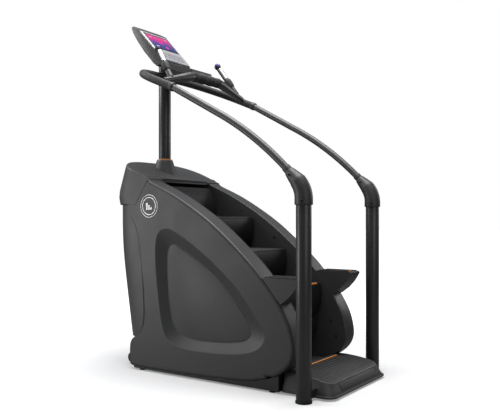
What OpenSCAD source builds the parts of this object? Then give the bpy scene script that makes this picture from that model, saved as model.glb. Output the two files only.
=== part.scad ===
// Stair climber: a powered flight of revolving steps between two moulded shells,
// with handrails, pulse handles and a console on a front mast.
// X points to the user's right, Y points the way the user faces, Z is up.
// Inside the modules Y = 0 is the plane of the rear posts; placed() moves the
// whole machine so that its origin is the middle of its footprint.

/* [Overall] */
// Rearmost face of the entry platform, behind the posts
rear_y = -118; // [-128:1:-112]
// Foremost point of the front shell
front_y = 1410; // [1406:1:1420]
// Centre plane to the centre of each rear post and handrail
rail_x = 398; // [390:1:405]
// Centre plane to the outside of each side cover
shell_x = 346; // [340:1:350]
// Centre plane to the well face of each inner wall
well_x = 225; // [222:1:230]

/* [Rails] */
// Diameter of the rear posts and the mast
post_d = 76; // [70:1:80]
// Diameter of the bare handrails
rail_d = 38; // [34:1:40]
// Diameter of the sleeved front rail loop
loop_d = 45; // [42:1:48]
// Height where the casting takes over from the post
post_top = 950; // [940:1:960]
// Slope of the front rail loop, in degrees
loop_slope = 22.6; // [22:0.1:23]

/* [Steps] */
// Horizontal distance from one step nose to the next
step_run = 235; // [230:1:238]
// Height from one step nose to the next
step_rise = 188; // [186:1:192]
// Centre plane to the end of each step
step_x = 215; // [205:1:216]
// Thickness of a tread
tread_t = 22; // [16:1:26]
// Number of steps on the climbing side
front_steps = 3; // [3:1:3]
// Radius of the chain on its sprockets
chain_r = 110; // [108:1:111]

/* [Console] */
// Half the width of the console face
console_x = 134; // [125:1:138]
// Length of the console face along its slope
console_len = 296; // [294:1:298]
// Slope of the console face, in degrees from level
console_tilt = 46.3; // [46:0.1:46.6]

/* [Hidden] */
$fn = 48;
mid_y = (rear_y + front_y) / 2;
wall = 5;               // thickness of the moulded shells
eps = 1;                // overshoot of a cutting shape
rest_gap = 0.5;         // space between separate solids that nearly touch
fit = 0.05;             // radial clearance of a shaft in its bearing

// ---- helpers ---------------------------------------------------------------

module placed() translate([0, -mid_y, 0]) children();

// Draws a left and a right version: side is -1 on the left and +1 on the right.
module on_side(side) if (side > 0) children(); else mirror([1, 0, 0]) children();

// Extrudes a [y, z] outline along X between two planes.
module along_x(x0, x1)
    translate([x0, 0, 0]) rotate([90, 0, 90]) linear_extrude(x1 - x0) children();

// A round bar between two points, its radius going from r1 to r2.
module rod(p, q, r1, r2) {
    d = q - p;
    len = norm(d);
    translate(p) rotate([0, acos(d[2] / len), atan2(d[1], d[0])])
        cylinder(h = len, r1 = r1, r2 = r2);
}

// Points of a circular arc, as [y, z] pairs.
function arc(centre, r, a0, a1, n) =
    [for (i = [0:n]) centre + r * [cos(a0 + (a1 - a0) * i / n), sin(a0 + (a1 - a0) * i / n)]];

// A closed Catmull-Rom curve through the given points.
function spline(a, b, c, d, t) =
    0.5 * (2 * b + (c - a) * t + (2 * a - 5 * b + 4 * c - d) * t * t
           + (3 * b - a - 3 * c + d) * t * t * t);
function smooth_loop(p, n) =
    let (m = len(p))
    [for (i = [0:m - 1]) for (k = [0:n - 1])
        spline(p[(i + m - 1) % m], p[i], p[(i + 1) % m], p[(i + 2) % m], k / n)];

// Moves each point of a clockwise outline inwards by d.
function inset(p, d) =
    let (m = len(p))
    [for (i = [0:m - 1])
        let (t = p[(i + 1) % m] - p[(i + m - 1) % m])
        p[i] + d * [t[1], -t[0]] / norm(t)];

// Half a rounded bow in plan: x from shell_x to the centre, as [x, y] pairs.
function bow(side_y, depth, half_x, power, n) =
    [for (i = [-n:n])
        let (a = 90 * i / n, c = cos(a), s = abs(sin(a)))
        [half_x * sign(a) * pow(s, 2 / power) , side_y + depth * pow(c, 2 / power)]];

// A thin level slice of the front shell.
module bow_slice(z, side_y, centre_y, grow, power)
    translate([0, 0, z]) linear_extrude(1)
        polygon(concat(bow(side_y + grow, centre_y - side_y, shell_x + grow, power, 12),
                       [[shell_x + grow, 900], [-shell_x - grow, 900]]));

// ---- side shells -----------------------------------------------------------

// Clockwise outline of a side cover: along the top from the rear, down the
// front seam and back along the bottom.
cover_outline = smooth_loop([
    [168, 447], [226, 523], [280, 583], [348, 653], [476, 764], [608, 865],
    [747, 952], [893, 1030], [1040, 1094], [1130, 1142], [1183, 1070], [1212, 990],
    [1206, 918], [1162, 851], [1130, 745], [1106, 556], [1095, 412], [1095, 297],
    [1120, 222], [1174, 189], [1204, 160], [1210, 109], [1208, 40], [1180, 22],
    [1044, 20], [677, 25], [411, 38], [300, 55], [196, 88], [124, 140], [90, 200], [90, 268], [116, 356]
], 3);
// The bowl in each side: its rim at the outside and the panel at its bottom.
bowl_rim = smooth_loop([
    [259, 280], [320, 385], [462, 545], [677, 707], [855, 808], [930, 827],
    [990, 790], [1005, 675], [983, 448], [944, 253], [877, 183], [747, 161],
    [508, 166], [330, 200]
], 4);
bowl_floor = smooth_loop([
    [359, 298], [432, 413], [598, 573], [808, 705], [904, 737],
    [941, 659], [926, 420], [890, 281], [809, 223], [633, 210], [413, 236]
], 4);
bowl_depth = 30;

module bowl(grow)
    hull() {
        along_x(shell_x, shell_x + eps) polygon(inset(bowl_rim, -grow));
        along_x(shell_x - bowl_depth - grow, shell_x - bowl_depth - grow + eps)
            polygon(inset(bowl_floor, -grow));
    }

module side_cover(side) color([0.19, 0.19, 0.20]) on_side(side) difference() {
    union() {
        difference() {
            along_x(well_x + wall + rest_gap, shell_x) polygon(cover_outline);
            along_x(well_x + wall + rest_gap - eps, shell_x - wall) polygon(inset(cover_outline, wall));
            // open towards the front shell
            along_x(well_x, shell_x - wall) polygon([[1080, 240], [1300, 240], [1300, 1090], [1120, 1090]]);
            along_x(frame_x - eps, frame_x + frame_w + eps) side_outline(eps);
            cross_members(eps);
        }
        difference() {
            bowl(wall);
            along_x(shell_x, shell_x + 3 * eps) polygon(inset(bowl_rim, -2 * wall));
        }
    }
    bowl(0);
    along_x(shell_x - bowl_depth - 2 * wall, shell_x - bowl_depth + eps) polygon(inset(bowl_floor, wall));
}

module inner_wall(side) color([0.13, 0.13, 0.14]) on_side(side) difference() {
    along_x(well_x, well_x + wall) polygon(cover_outline);
    cross_members(eps);
    // clearance holes for the two shafts
    for (c = [upper_axis, lower_axis])
        along_x(well_x - eps, well_x + wall + eps) translate(c) circle(r = shaft_r + 12);
}

module accent_panels() color([0.30, 0.30, 0.31]) for (side = [-1, 1]) on_side(side)
    along_x(shell_x - bowl_depth - wall, shell_x - bowl_depth - rest_gap)
        polygon(inset(bowl_floor, wall + rest_gap));

// A plain round badge with three raised step marks.
badge_at = [1051, 955];
badge_r = 66;
module badges() color([0.75, 0.75, 0.76]) for (side = [-1, 1]) on_side(side) {
    along_x(shell_x, shell_x + 1.6) translate(badge_at) difference() {
        circle(r = badge_r);
        circle(r = badge_r - 7);
    }
    for (i = [0:2]) along_x(shell_x, shell_x + 1.6)
        translate(badge_at + [i * 22 - 33, -28]) square([16, 20 + i * 18]);
}

// ---- front shell -----------------------------------------------------------

head_z = 966;           // lower edge of the hood, where the front cover starts
// The front shell's form, moved out by grow and made longer by over at both ends.
module front_body(grow, over) hull() {
    bow_slice(190 - over, 1071, 1312, grow, 2.6);
    bow_slice(420, 1106, 1350, grow, 2.6);
    bow_slice(760, 1157, 1390, grow, 2.6);
    bow_slice(head_z - 2 + over, 1160, 1394, grow, 2.6);
}
module front_cover() color([0.20, 0.20, 0.21]) difference() {
    front_body(0, 0);
    front_body(-wall, 2 * eps);
    along_x(-shell_x - eps, shell_x + eps) polygon(inset(cover_outline, -rest_gap));
    translate([-400, 880, 0]) cube([800, 215, 1200]);
}

module kick_panel() color([0.16, 0.16, 0.17]) difference() {
    translate([-well_x + rest_gap, 1196, 26]) cube([2 * well_x - 2 * rest_gap, 12, 158]);
    translate(inlet_at + [-25, -20, -16]) cube([50, 40, 32]);
    for (side = [-1, 1]) on_side(side) translate([wheel_at[0] - 16, 1180, 20]) cube([16, 40, 36]);
}

module floor_pan() color([0.08, 0.08, 0.08])
    translate([-well_x + rest_gap, platform_front + 2, 84]) cube([2 * well_x - 2 * rest_gap, 1018, 3]);

// Power socket in the kick panel, facing forwards.
inlet_at = [150, 1206, 122];
module power_inlet() color([0.05, 0.05, 0.05]) translate(inlet_at) difference() {
    union() {
        translate([-24.5, -30, -15.5]) cube([49, 32, 31]);
        translate([-28, 2.5, -19]) cube([56, 3, 38]);
        translate([-24.5, 1, -15.5]) cube([49, 3, 31]);
    }
    translate([-14, -14, -9]) cube([28, 30, 18]);
}

hood_slope = 24.4;      // slope of the hood's flat top
hood_edge = [1063, 1113]; // well edge of the hood, as [y, z]
hood_side_y = 1130;       // where the hood begins above the side covers
module hood_body(grow) difference() {
    hull() {
        bow_slice(head_z - grow, 1172, 1396 + 6, grow, 2.8);
        bow_slice(1010, 1190, front_y, grow, 2.8);
        bow_slice(1052, 1182, 1404, grow, 2.8);
        bow_slice(1186, 1118, 1366, grow, 2.8);
        bow_slice(1252, 1080, 1340, grow, 2.8);
    }
    translate([0, hood_edge[0], hood_edge[1] + grow]) rotate([hood_slope, 0, 0])
        translate([-500, -400, 0]) cube([1000, 900, 400]);
}
module hood() color([0.20, 0.20, 0.21]) {
    difference() {
        hood_body(0);
        difference() {
            translate([0, 0, -wall]) hood_body(-wall);
            // cross wall at the back of the front shell stays solid at the well
            translate([-well_x, hood_edge[0] - 50, 900]) cube([2 * well_x, 50 + wall, 400]);
        }
        for (side = [-1, 1]) on_side(side)
            along_x(well_x - rest_gap, shell_x + eps) polygon(inset(cover_outline, -rest_gap));
        translate([-well_x - 2, 800, 900]) cube([2 * well_x + 4, hood_edge[0] - 800, 400]);
        for (side = [-1, 1]) on_side(side)
            translate([well_x - rest_gap, 850, 900]) cube([200, hood_side_y - 850, 400]);
        translate([0, mast_y, 900]) cylinder(h = 500, r = post_d / 2 + 4);
        // clears the upper steps below the well edge
        translate([-well_x, 1000, 900]) cube([2 * well_x, 90, 198]);
    }
    translate([0, hood_edge[0] + 4, hood_edge[1]]) rotate([hood_slope, 0, 0])
        translate([-well_x + 14, 0, -2]) cube([2 * well_x - 28, 26, 9]);
}

mast_y = 1239;
mast_base = 1120;
boot_top = 1250;
module mast_boot() color([0.18, 0.18, 0.19]) difference() {
    intersection() {
        translate([0, mast_y, 1150]) cylinder(h = boot_top - 1150, r1 = 82, r2 = 50);
        translate([0, hood_edge[0], hood_edge[1] + rest_gap]) rotate([hood_slope, 0, 0])
            translate([-200, 0, 0]) cube([400, 400, 300]);
    }
    translate([0, mast_y, 1100]) cylinder(h = 200, r = post_d / 2 + rest_gap);
}
module boot_ring() color([0.78, 0.52, 0.22]) translate([0, mast_y, boot_top + 0.2]) difference() {
    cylinder(h = 6, r = 47);
    translate([0, 0, -eps]) cylinder(h = 8, r = post_d / 2 + rest_gap);
}
module mast() color([0.16, 0.16, 0.17]) translate([0, mast_y, mast_base]) difference() {
    cylinder(h = 1720 - mast_base, r = post_d / 2);
    translate([0, 0, 20]) cylinder(h = 1700, r = post_d / 2 - 3);
}

// ---- step-off wings --------------------------------------------------------

wing_top = 583;
wing_outline = concat(
    [[282, wing_top], [66, wing_top]],
    arc([66, wing_top - 10], 10, 95, 190, 6),
    [[62, 560], [84, 525], [118, 488], [165, 452]]
);
module wing(side) color([0.18, 0.18, 0.19]) on_side(side) difference() {
    along_x(well_x, shell_x) polygon(wing_outline);
    along_x(well_x - eps, shell_x + eps) polygon(inset(cover_outline, -rest_gap));
}
module wing_pads() color([0.07, 0.07, 0.07]) for (side = [-1, 1]) on_side(side)
    translate([well_x + 4, 72, wing_top + 0.2]) cube([shell_x - well_x - 8, 190, 5]);

// ---- entry platform --------------------------------------------------------

platform_x = 318;
platform_front = 170;
platform_top = 108;
platform_crown = [   // where one stands, rising towards the steps
    [rear_y + 30, 74.5], [-60, 83], [-17, 94], [40, 102.5], [98, 107.3], [130, platform_top]
];
platform_profile = concat([[rear_y + 8, 20]], platform_crown,
    [[platform_front, platform_top], [platform_front, 20]]);
platform_corner = 42;   // radius of the rear corners in plan
platform_arms = [-200, 200];
platform_lip = 8;       // how far the foot of the platform stands out
module platform_plan(grow) {
    r = platform_corner + grow;
    translate([-platform_x - grow, rear_y + platform_corner])
        square([2 * (platform_x + grow), platform_front - rear_y - platform_corner - platform_lip]);
    translate([-platform_x + platform_corner, rear_y - grow])
        square([2 * (platform_x - platform_corner), platform_corner + grow + eps]);
    for (x = [-1, 1]) translate([x * (platform_x - platform_corner), rear_y + platform_corner]) circle(r = r);
}
module entry_platform() color([0.17, 0.17, 0.18]) difference() {
    union() {
        intersection() {
            along_x(-platform_x, platform_x) polygon(platform_profile);
            linear_extrude(200) platform_plan(0);
        }
        translate([0, platform_lip, 10]) linear_extrude(11) platform_plan(platform_lip);
    }
    intersection() {
        along_x(-platform_x + wall, platform_x - wall) polygon(inset(platform_profile, 6));
        linear_extrude(200) platform_plan(-wall);
    }
    translate([0, -eps, 9]) linear_extrude(18) platform_plan(-12);
    // room for the tube that joins the posts and for the arms of the base
    translate([-400, -26, 0]) cube([800, 52, 62]);
    for (x = platform_arms) translate([x - 22, 140, 0]) cube([44, 60, 60]);
    for (side = [-1, 1]) on_side(side)
        along_x(well_x - rest_gap, shell_x + eps) polygon(inset(cover_outline, -rest_gap));
}
rib_count = 8;
rib_pitch = 24;
rib_w = 15;
rib_h = 2.4;
module platform_tread() color([0.12, 0.12, 0.12])
    intersection() {
        for (i = [0:rib_count - 1])
            translate([40 - platform_x, i * rib_pitch - 58, 60]) cube([2 * platform_x - 80, rib_w, 60]);
        along_x(-platform_x, platform_x) polygon(concat(
            [for (p = platform_crown) p + [0, 0.2]],
            [for (i = [1:len(platform_crown)]) platform_crown[len(platform_crown) - i] + [0, rib_h]]));
    }
module platform_marker() color([0.85, 0.55, 0.22])
    translate([-well_x + 6, 134, platform_top + 0.2]) cube([2 * well_x - 12, 9, 3]);

// ---- posts and rails -------------------------------------------------------

rail_start = [82, 1116];  // where a handrail leaves its casting, as [y, z]
rail_arc_r = 1840;
rail_angles = [45, 28.5]; // slope at the casting and on the straight stretch
function arc_end(p, r, a0, a1) = p + r * [-sin(a1) + sin(a0), cos(a1) - cos(a0)];
rail_bend = arc_end(rail_start, rail_arc_r, rail_angles[0], rail_angles[1]);
rail_straight = 372;
rail_dir = [cos(rail_angles[1]), sin(rail_angles[1])];
rail_end = rail_bend + rail_straight * rail_dir;
lap = 0.3;              // step in radius where two lengths of bar are sleeved together
collar_len = 26;

// A tube bent in the plane of the rail: from p, heading up at a0, to a1 < a0.
module bent(p, r, a0, a1, tube_r)
    translate([0, p[0] + r * sin(a0), p[1] - r * cos(a0)]) rotate([90, 0, 90])
        rotate([0, 0, a1 + 90]) rotate_extrude(angle = a0 - a1, $fn = 96)
            translate([r, 0]) circle(r = tube_r);

module rear_post(side) color([0.16, 0.16, 0.17]) on_side(side)
    translate([rail_x, 0, 12.5]) difference() {
        cylinder(h = post_top - 12.5, r = post_d / 2);
        translate([0, 0, 10]) cylinder(h = post_top, r = post_d / 2 - 3);
    }

elbow_r = 130;
// Height where the casting starts to bend towards the handrail's own line
elbow_z = rail_start[1] - rail_start[0] - elbow_r * tan(rail_angles[0] / 2);
module post_elbow(side) color([0.15, 0.15, 0.16]) on_side(side) translate([rail_x, 0, 0]) {
    translate([0, 0, post_top + rest_gap])
        cylinder(h = elbow_z + 4 - post_top - rest_gap, r1 = 45, r2 = 43 + lap);
    bent([0, elbow_z], elbow_r, 90, 45, 43);
    let (bend_end = [0, elbow_r * (1 - cos(45)), elbow_z + elbow_r * sin(45)])
        rod(bend_end - [0, 3, 3], [0, rail_start[0] - rest_gap, rail_start[1] - rest_gap], 43 + lap, 26);
}
// Two bolt heads on each flank of each casting: [y, z] and the flank's distance from its middle.
elbow_bolt_at = [[6, 972, 45.4], [48, 1078, 41.4]];
module elbow_bolts() color([0.05, 0.05, 0.05])
    for (x = [-rail_x, rail_x]) for (flank = [-1, 1]) for (b = elbow_bolt_at) translate([x, 0, 0]) on_side(flank)
        along_x(b[2], b[2] + 3) translate([b[0], b[1]]) circle(r = 6);

module handrail(side) color([0.38, 0.38, 0.39]) on_side(side) translate([rail_x, 0, 0]) {
    bent(rail_start, rail_arc_r, rail_angles[0], rail_angles[1], rail_d / 2);
    let (p = rail_bend - 4 * rail_dir)
        rod([0, p[0], p[1]], [0, rail_end[0], rail_end[1]], rail_d / 2 + lap, rail_d / 2 + lap);
}

loop_corner = 280;      // radius of the loop's front corners in its own plane
loop_start = rail_end;
loop_front_y = 1202;
loop_side = (loop_front_y - loop_start[0]) / cos(loop_slope) - loop_corner;
module front_rail_loop() color([0.14, 0.14, 0.15]) difference() {
    loop_tube();
    for (side = [-1, 1]) on_side(side) let (p = rail_end - 60 * rail_dir, q = rail_end + 2.3 * rail_dir)
        rod([rail_x, p[0], p[1]], [rail_x, q[0], q[1]], rail_d / 2 + 2 * lap, rail_d / 2 + 2 * lap);
    translate([0, mast_y, 1500]) cylinder(h = 500, r = post_d / 2 + lap);
}
module loop_tube()
    translate([0, loop_start[0], loop_start[1]]) rotate([loop_slope, 0, 0]) {
        for (x = [-1, 1]) {
            translate([x * rail_x, 0, 0]) rotate([-90, 0, 0]) cylinder(h = loop_side, r = loop_d / 2);
            translate([x * rail_x, -collar_len / 2, 0]) rotate([-90, 0, 0])
                cylinder(h = collar_len, r = loop_d / 2 + 2);
            translate([x * (rail_x - loop_corner), loop_side, 0]) rotate([0, 0, x > 0 ? 0 : 90])
                rotate_extrude(angle = 90, $fn = 96) translate([loop_corner, 0]) circle(r = loop_d / 2);
        }
        translate([-rail_x + loop_corner, loop_side + loop_corner, 0]) rotate([0, 90, 0])
            cylinder(h = 2 * (rail_x - loop_corner), r = loop_d / 2);
        // saddle that bolts the loop to the mast
        translate([-30, loop_side + loop_corner - 10, -34]) cube([60, 16, 68]);
    }

// ---- crossbar and pulse handles --------------------------------------------

bar_r = 18;             // radius of the crossbar's sloping ends
bar_mid_r = 20;         // radius of its level middle
bar_end = [392, 908, 1651];
bar_bend = [130, 908, 1721];
module bar_slope(grow) rod(bar_end, bar_bend, bar_r + grow, bar_r + grow);
module crossbar() color([0.14, 0.14, 0.15]) {
    for (side = [-1, 1]) on_side(side) difference() {
        bar_slope(0);
        translate([rail_x, loop_start[0], loop_start[1]]) rotate([loop_slope - 90, 0, 0])
            cylinder(h = 150, r = loop_d / 2 + lap);
    }
    translate([-bar_bend[0] - 8, bar_bend[1], bar_bend[2]]) rotate([0, 90, 0])
        cylinder(h = 2 * (bar_bend[0] + 8), r = bar_mid_r);
}
module crossbar_grip() color([0.10, 0.10, 0.10])
    translate([-bar_bend[0] + 8, bar_bend[1], bar_bend[2]]) rotate([0, 90, 0]) difference() {
        cylinder(h = 2 * bar_bend[0] - 16, r = 25);
        translate([0, 0, -eps]) cylinder(h = 2 * bar_bend[0], r = bar_mid_r + rest_gap);
    }

pulse_base = [318, 912, 1684];
pulse_tip = [283, 1052, 1892];
function on_pulse(t) = pulse_base + (pulse_tip - pulse_base) * t;
module pulse_arm(side) color([0.14, 0.14, 0.15]) on_side(side) {
    difference() {
        rod(on_pulse(0.02), on_pulse(0.38), 18, 17);
        bar_slope(lap);
    }
    rod(on_pulse(0.34), on_pulse(0.44), 21, 21);
}
module pulse_grips() color([0.08, 0.08, 0.08]) for (side = [-1, 1]) on_side(side) difference() {
    rod(on_pulse(0.442), on_pulse(0.93), 16, 16);
    rod(on_pulse(0.85), on_pulse(0.95), 10.5, 10.5);
}
module pulse_plates() color([0.75, 0.75, 0.76]) for (side = [-1, 1]) on_side(side) difference() {
    rod(on_pulse(0.47), on_pulse(0.80), 18, 18);
    rod(on_pulse(0.46), on_pulse(0.81), 16.2, 16.2);
    // leaves the plate on the user's side only
    translate(on_pulse(0.63) + [-60, 2, -70]) cube([120, 80, 160]);
}
module handle_button(side) color([0.25, 0.25, 0.65]) on_side(side)
    rod(on_pulse(0.88), on_pulse(0.97), 10.4, 10.4);

// ---- console ---------------------------------------------------------------

console_low = [0, 1135, 1852];  // middle of the face's lower edge
// The console's own frame: x across, y up the face, z out towards the user.
module console_frame() translate(console_low) rotate([console_tilt, 0, 0]) children();

module rounded_plate(x, y0, y1, r, h) linear_extrude(h) {
    translate([-x + r, y0]) square([2 * (x - r), y1 - y0]);
    translate([-x, y0 + r]) square([2 * x, y1 - y0 - 2 * r]);
    for (sx = [-1, 1]) for (y = [y0 + r, y1 - r]) translate([sx * (x - r), y]) circle(r = r);
}
bezel_t = 6;
display_low = 117;      // lower edge of the screen above the console's lower edge
stop_at = [0, 97];      // middle of the stop button on the console's face
stop_r = 7.5;
// Side outline of the housing: face, brow above it, curved back.
console_profile = [
    [1135, 1850], [1338.6, 2063], [1344, 2074], [1384, 2094], [1398, 2095], [1403, 2086],
    [1386, 2048], [1350, 1995], [1290, 1918], [1210, 1834], [1186, 1816], [1150, 1822]
];
module console_housing() color([0.17, 0.17, 0.18]) difference() {
    along_x(-console_x, console_x) polygon(console_profile);
    console_frame() {
        translate([0, 0, -bezel_t - rest_gap]) rounded_plate(console_x - 5, 5, console_len - 5, 14, 40);
        // pocket of the stop button
        translate([stop_at[0], stop_at[1], -30]) cylinder(h = 40, r = stop_r + 2);
    }
}
module console_bezel() color([0.76, 0.76, 0.77]) console_frame() difference() {
    translate([0, 0, -bezel_t]) rounded_plate(console_x - 5.5, 5.5, console_len - 5.5, 13.5, bezel_t + 1);
    translate([0, 0, -bezel_t + 2]) rounded_plate(console_x - 22, display_low, console_len - 22, 5, 20);
    translate([stop_at[0], stop_at[1], -30]) cylinder(h = 40, r = stop_r + rest_gap);
}
module display() color([0.35, 0.20, 0.50]) console_frame() translate([0, 0, -bezel_t + 2 + 0.2])
    rounded_plate(console_x - 22.5, display_low + 0.5, console_len - 22.5, 4.5, 4);
module stop_button() color([0.75, 0.35, 0.08]) console_frame()
    translate([stop_at[0], stop_at[1], -16]) cylinder(h = 21, r = stop_r);
neck_z = 1720.5;
module console_neck() color([0.14, 0.14, 0.15]) difference() {
    translate([0, mast_y, neck_z]) cylinder(h = 160, r = post_d / 2);
    along_x(-60, 60) polygon(concat([for (i = [7:10]) console_profile[i] + [0.4, -0.4]], [[1000, 1816], [1000, 1995]]));
}
// Reading rest and bottle tray between the crossbar and the console.
module console_tray() color([0.15, 0.15, 0.16]) difference() {
    hull() {
        translate([-118, 1120, 1800]) cube([236, 14, 36]);
        translate([-98, 938, 1744]) cube([196, 14, 32]);
        translate([-60, 1160, 1748]) cube([120, 14, 30]);
    }
    hull() {
        translate([-84, 1072, 1812]) cube([168, 14, 60]);
        translate([-76, 976, 1768]) cube([152, 12, 60]);
        translate([-76, 1050, 1768]) cube([152, 20, 10]);
    }
}

// ---- frame -----------------------------------------------------------------

frame_x = 268;          // inside face of the side frames
tube = 50;
lower_axis = [425, 283];
upper_axis = [1103, 830];
frame_w = 36;           // width of the side frames' tubes, across the machine
rail_rear_y = 190;
rail_z = 30;            // underside of the base rails
// A straight bar of the side frames, as a [y, z] outline.
module bar_outline(p, q, t, grow)
    translate(p) rotate(atan2(q[1] - p[1], q[0] - p[0]))
        translate([-grow, -t / 2 - grow]) square([norm(q - p) + 2 * grow, t + 2 * grow]);
module side_outline(grow) {
    translate([rail_rear_y - grow, rail_z - grow]) square([990 + 2 * grow, tube + 2 * grow]);
    bar_outline([300, 60], lower_axis, 70, grow);
    bar_outline(lower_axis, upper_axis, 70, grow);
    translate([1060 - grow, rail_z + 30]) square([tube + 2 * grow, 760]);
    bar_outline(upper_axis, [mast_y, 1100], 60, grow);
    translate([1205 - grow, 1070]) square([68 + 2 * grow, tube - 1]);
    translate(motor_axis) circle(r = 34);
    translate(lower_axis) circle(r = 48);
    translate(upper_axis) circle(r = 48);
}
// Rail under each side cover, down to the feet.
skirt_z = 8;
skirt_x = [290, 333];
module skirt_outline() difference() {
    translate([182, skirt_z]) square([1003, 90]);
    polygon(inset(cover_outline, -rest_gap));
}
module side_frame(side) color([0.10, 0.10, 0.10]) on_side(side) {
    along_x(frame_x, frame_x + frame_w) difference() {
        side_outline(0);
        translate(lower_axis) circle(r = shaft_r + fit);
        translate(upper_axis) circle(r = shaft_r + fit);
        translate(motor_axis) circle(r = motor_shaft_r + fit);
    }
    along_x(skirt_x[0], skirt_x[1]) skirt_outline();
}
// Bars across the machine, between the two side frames.
module cross_members(grow) for (y = [rail_rear_y + 10, 1100])
    translate([-frame_x + lap, y - grow, rail_z - grow])
        cube([2 * (frame_x - lap), tube + 2 * grow, tube + 2 * grow]);
module base_frame() color([0.10, 0.10, 0.10]) {
    cross_members(0);
    translate([-frame_x + lap, 1209, 1074]) cube([2 * (frame_x - lap), 60, 40]);
    translate([-50, 1195, 1110]) cube([100, 88, 9.5]);
    // arms that reach under the entry platform
    for (x = platform_arms) translate([x - 20, 24.5, 14]) cube([40, 190, 42]);
    // arms and axles of the transport wheels
    for (side = [-1, 1]) on_side(side) {
        translate([wheel_at[0] - 14, 1140, 32]) cube([12, 172, 22]);
        along_x(wheel_at[0] - 6, wheel_at[0] + 26) translate([wheel_at[1], wheel_at[2]]) circle(r = 6);
    }
}
module rear_crossmember() color([0.12, 0.12, 0.12]) {
    translate([-rail_x + post_d / 2 + rest_gap, -24, 14])
        cube([2 * (rail_x - post_d / 2 - rest_gap), 48, 42]);
}
foot_at = [312, 230, 1130]; // x of the feet under the skirts, y of the rear and the front ones
foot_r = 18;
module foot_pads() color([0.04, 0.04, 0.04]) {
    for (side = [-1, 1]) on_side(side) {
        translate([rail_x, 0, 0]) cylinder(h = 12, r = post_d / 2 + 3);
        for (y = [foot_at[1], foot_at[2]])
            translate([foot_at[0], y, 0]) cylinder(h = skirt_z - rest_gap, r = foot_r);
        translate([platform_arms[1], 120, 0]) cylinder(h = 13.5, r = 18);
    }
}

// ---- moving steps ----------------------------------------------------------

first_nose = [709, 892];
pitch = norm([step_run, step_rise]);
incline = atan2(step_rise, step_run);
down = [-cos(incline), -sin(incline)];
inward = [sin(incline), -cos(incline)];
riser_r = 262;
riser_centre = [254.5, -64];
module step_shape() {
    along_x(-step_x, step_x) polygon([[0, -3], [3, 0], [step_run + 28, 0],
        [step_run + 28, -tread_t], [4, -tread_t], [0, -tread_t + 4]]);
    along_x(-step_x, step_x) polygon(concat(
        arc(riser_centre, riser_r, 168, 207.3, 12), arc(riser_centre, riser_r - 12, 207.3, 168, 12)));
}
module step(i) color([0.12, 0.12, 0.13])
    translate([0, first_nose[0] - step_run * (i - 1), first_nose[1] - step_rise * (i - 1)]) step_shape();

chain_x = 219.5;        // the chains run between the step ends and the inner walls
chain_t = 5;            // thickness of a chain, along the shaft
chain_w = 9;            // half the height of a chain link
shaft_r = 15;
module strand(p, q) translate([-chain_t / 2, p[0], p[1]])
    rotate([atan2(q[1] - p[1], q[0] - p[0]), 0, 0])
        translate([0, 0, -chain_w]) cube([chain_t, norm(q - p), 2 * chain_w]);
front_low = lower_axis - inward * (chain_r + chain_w);
front_high = upper_axis - inward * (chain_r + chain_w);
module front_chains() color([0.35, 0.33, 0.30]) {
    for (side = [-1, 1]) on_side(side) {
        translate([chain_x, 0, 0]) strand(front_low + down * 30, front_high);
        // lug that carries each tread
        for (i = [0:front_steps - 1])
            let (p = first_nose - [step_run * (i - 1) + 40, step_rise * i + tread_t + rest_gap])
                translate([chain_x - 30, p[0] - 30, p[1] - 42]) cube([30, 50, 42]);
    }
}
return_t = 40;
return_count = 2;
module return_steps() color([0.12, 0.12, 0.13]) {
    low = lower_axis + inward * (chain_r + chain_w);
    for (x = [-1, 1]) translate([x * chain_x, 0, 0])
        strand(low, upper_axis + inward * (chain_r + chain_w) + down * 60);
    for (i = [0:return_count - 1]) let (p = low - down * (40 + pitch * i) + inward * (chain_w - 1 + return_t / 2))
        translate([0, p[0], p[1]]) rotate([incline, 0, 0]) {
            translate([-step_x, 0, -return_t / 2]) cube([2 * step_x, step_run + 12, return_t]);
            // pin that joins the folded step to both chains
            translate([-chain_x, 60, return_t / 2 - 2]) rotate([0, 90, 0]) cylinder(h = 2 * chain_x, r = 6);
        }
}
module shaft(centre) {
    along_x(-frame_x - frame_w, frame_x + frame_w) translate(centre) circle(r = shaft_r);
    for (x = [-chain_x, chain_x])
        along_x(x - chain_t / 2, x + chain_t / 2) translate(centre) circle(r = chain_r - 1);
}
pulley_r = 105;
belt_x = 316;
module upper_shaft() color([0.45, 0.45, 0.46]) {
    shaft(upper_axis);
    along_x(frame_x + 30, belt_x + 10) translate(upper_axis) circle(r = shaft_r);
    along_x(belt_x - 10, belt_x + 10) translate(upper_axis) circle(r = pulley_r);
}
module lower_shaft() color([0.45, 0.45, 0.46]) {
    shaft(lower_axis);
}
// Step turning over the upper sprockets: its riser leans away from the user.
top_lean = 25;
top_riser_foot = [990, 904];
arm_x = 180;            // arms that carry the turning steps on their shafts
module top_step() color([0.12, 0.12, 0.13]) {
    translate([0, top_riser_foot[0], top_riser_foot[1]]) rotate([-top_lean, 0, 0])
        translate([0, -20, 182]) step_shape();
    for (x = [-arm_x, arm_x]) along_x(x - 4, x + 4) difference() {
        union() {
            translate(upper_axis) circle(r = 26);
            polygon([upper_axis + [0, 26], upper_axis - [0, 26], top_riser_foot + [6, 0], top_riser_foot + [26, 40]]);
        }
        translate(upper_axis) circle(r = shaft_r + rest_gap);
    }
}
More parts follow.
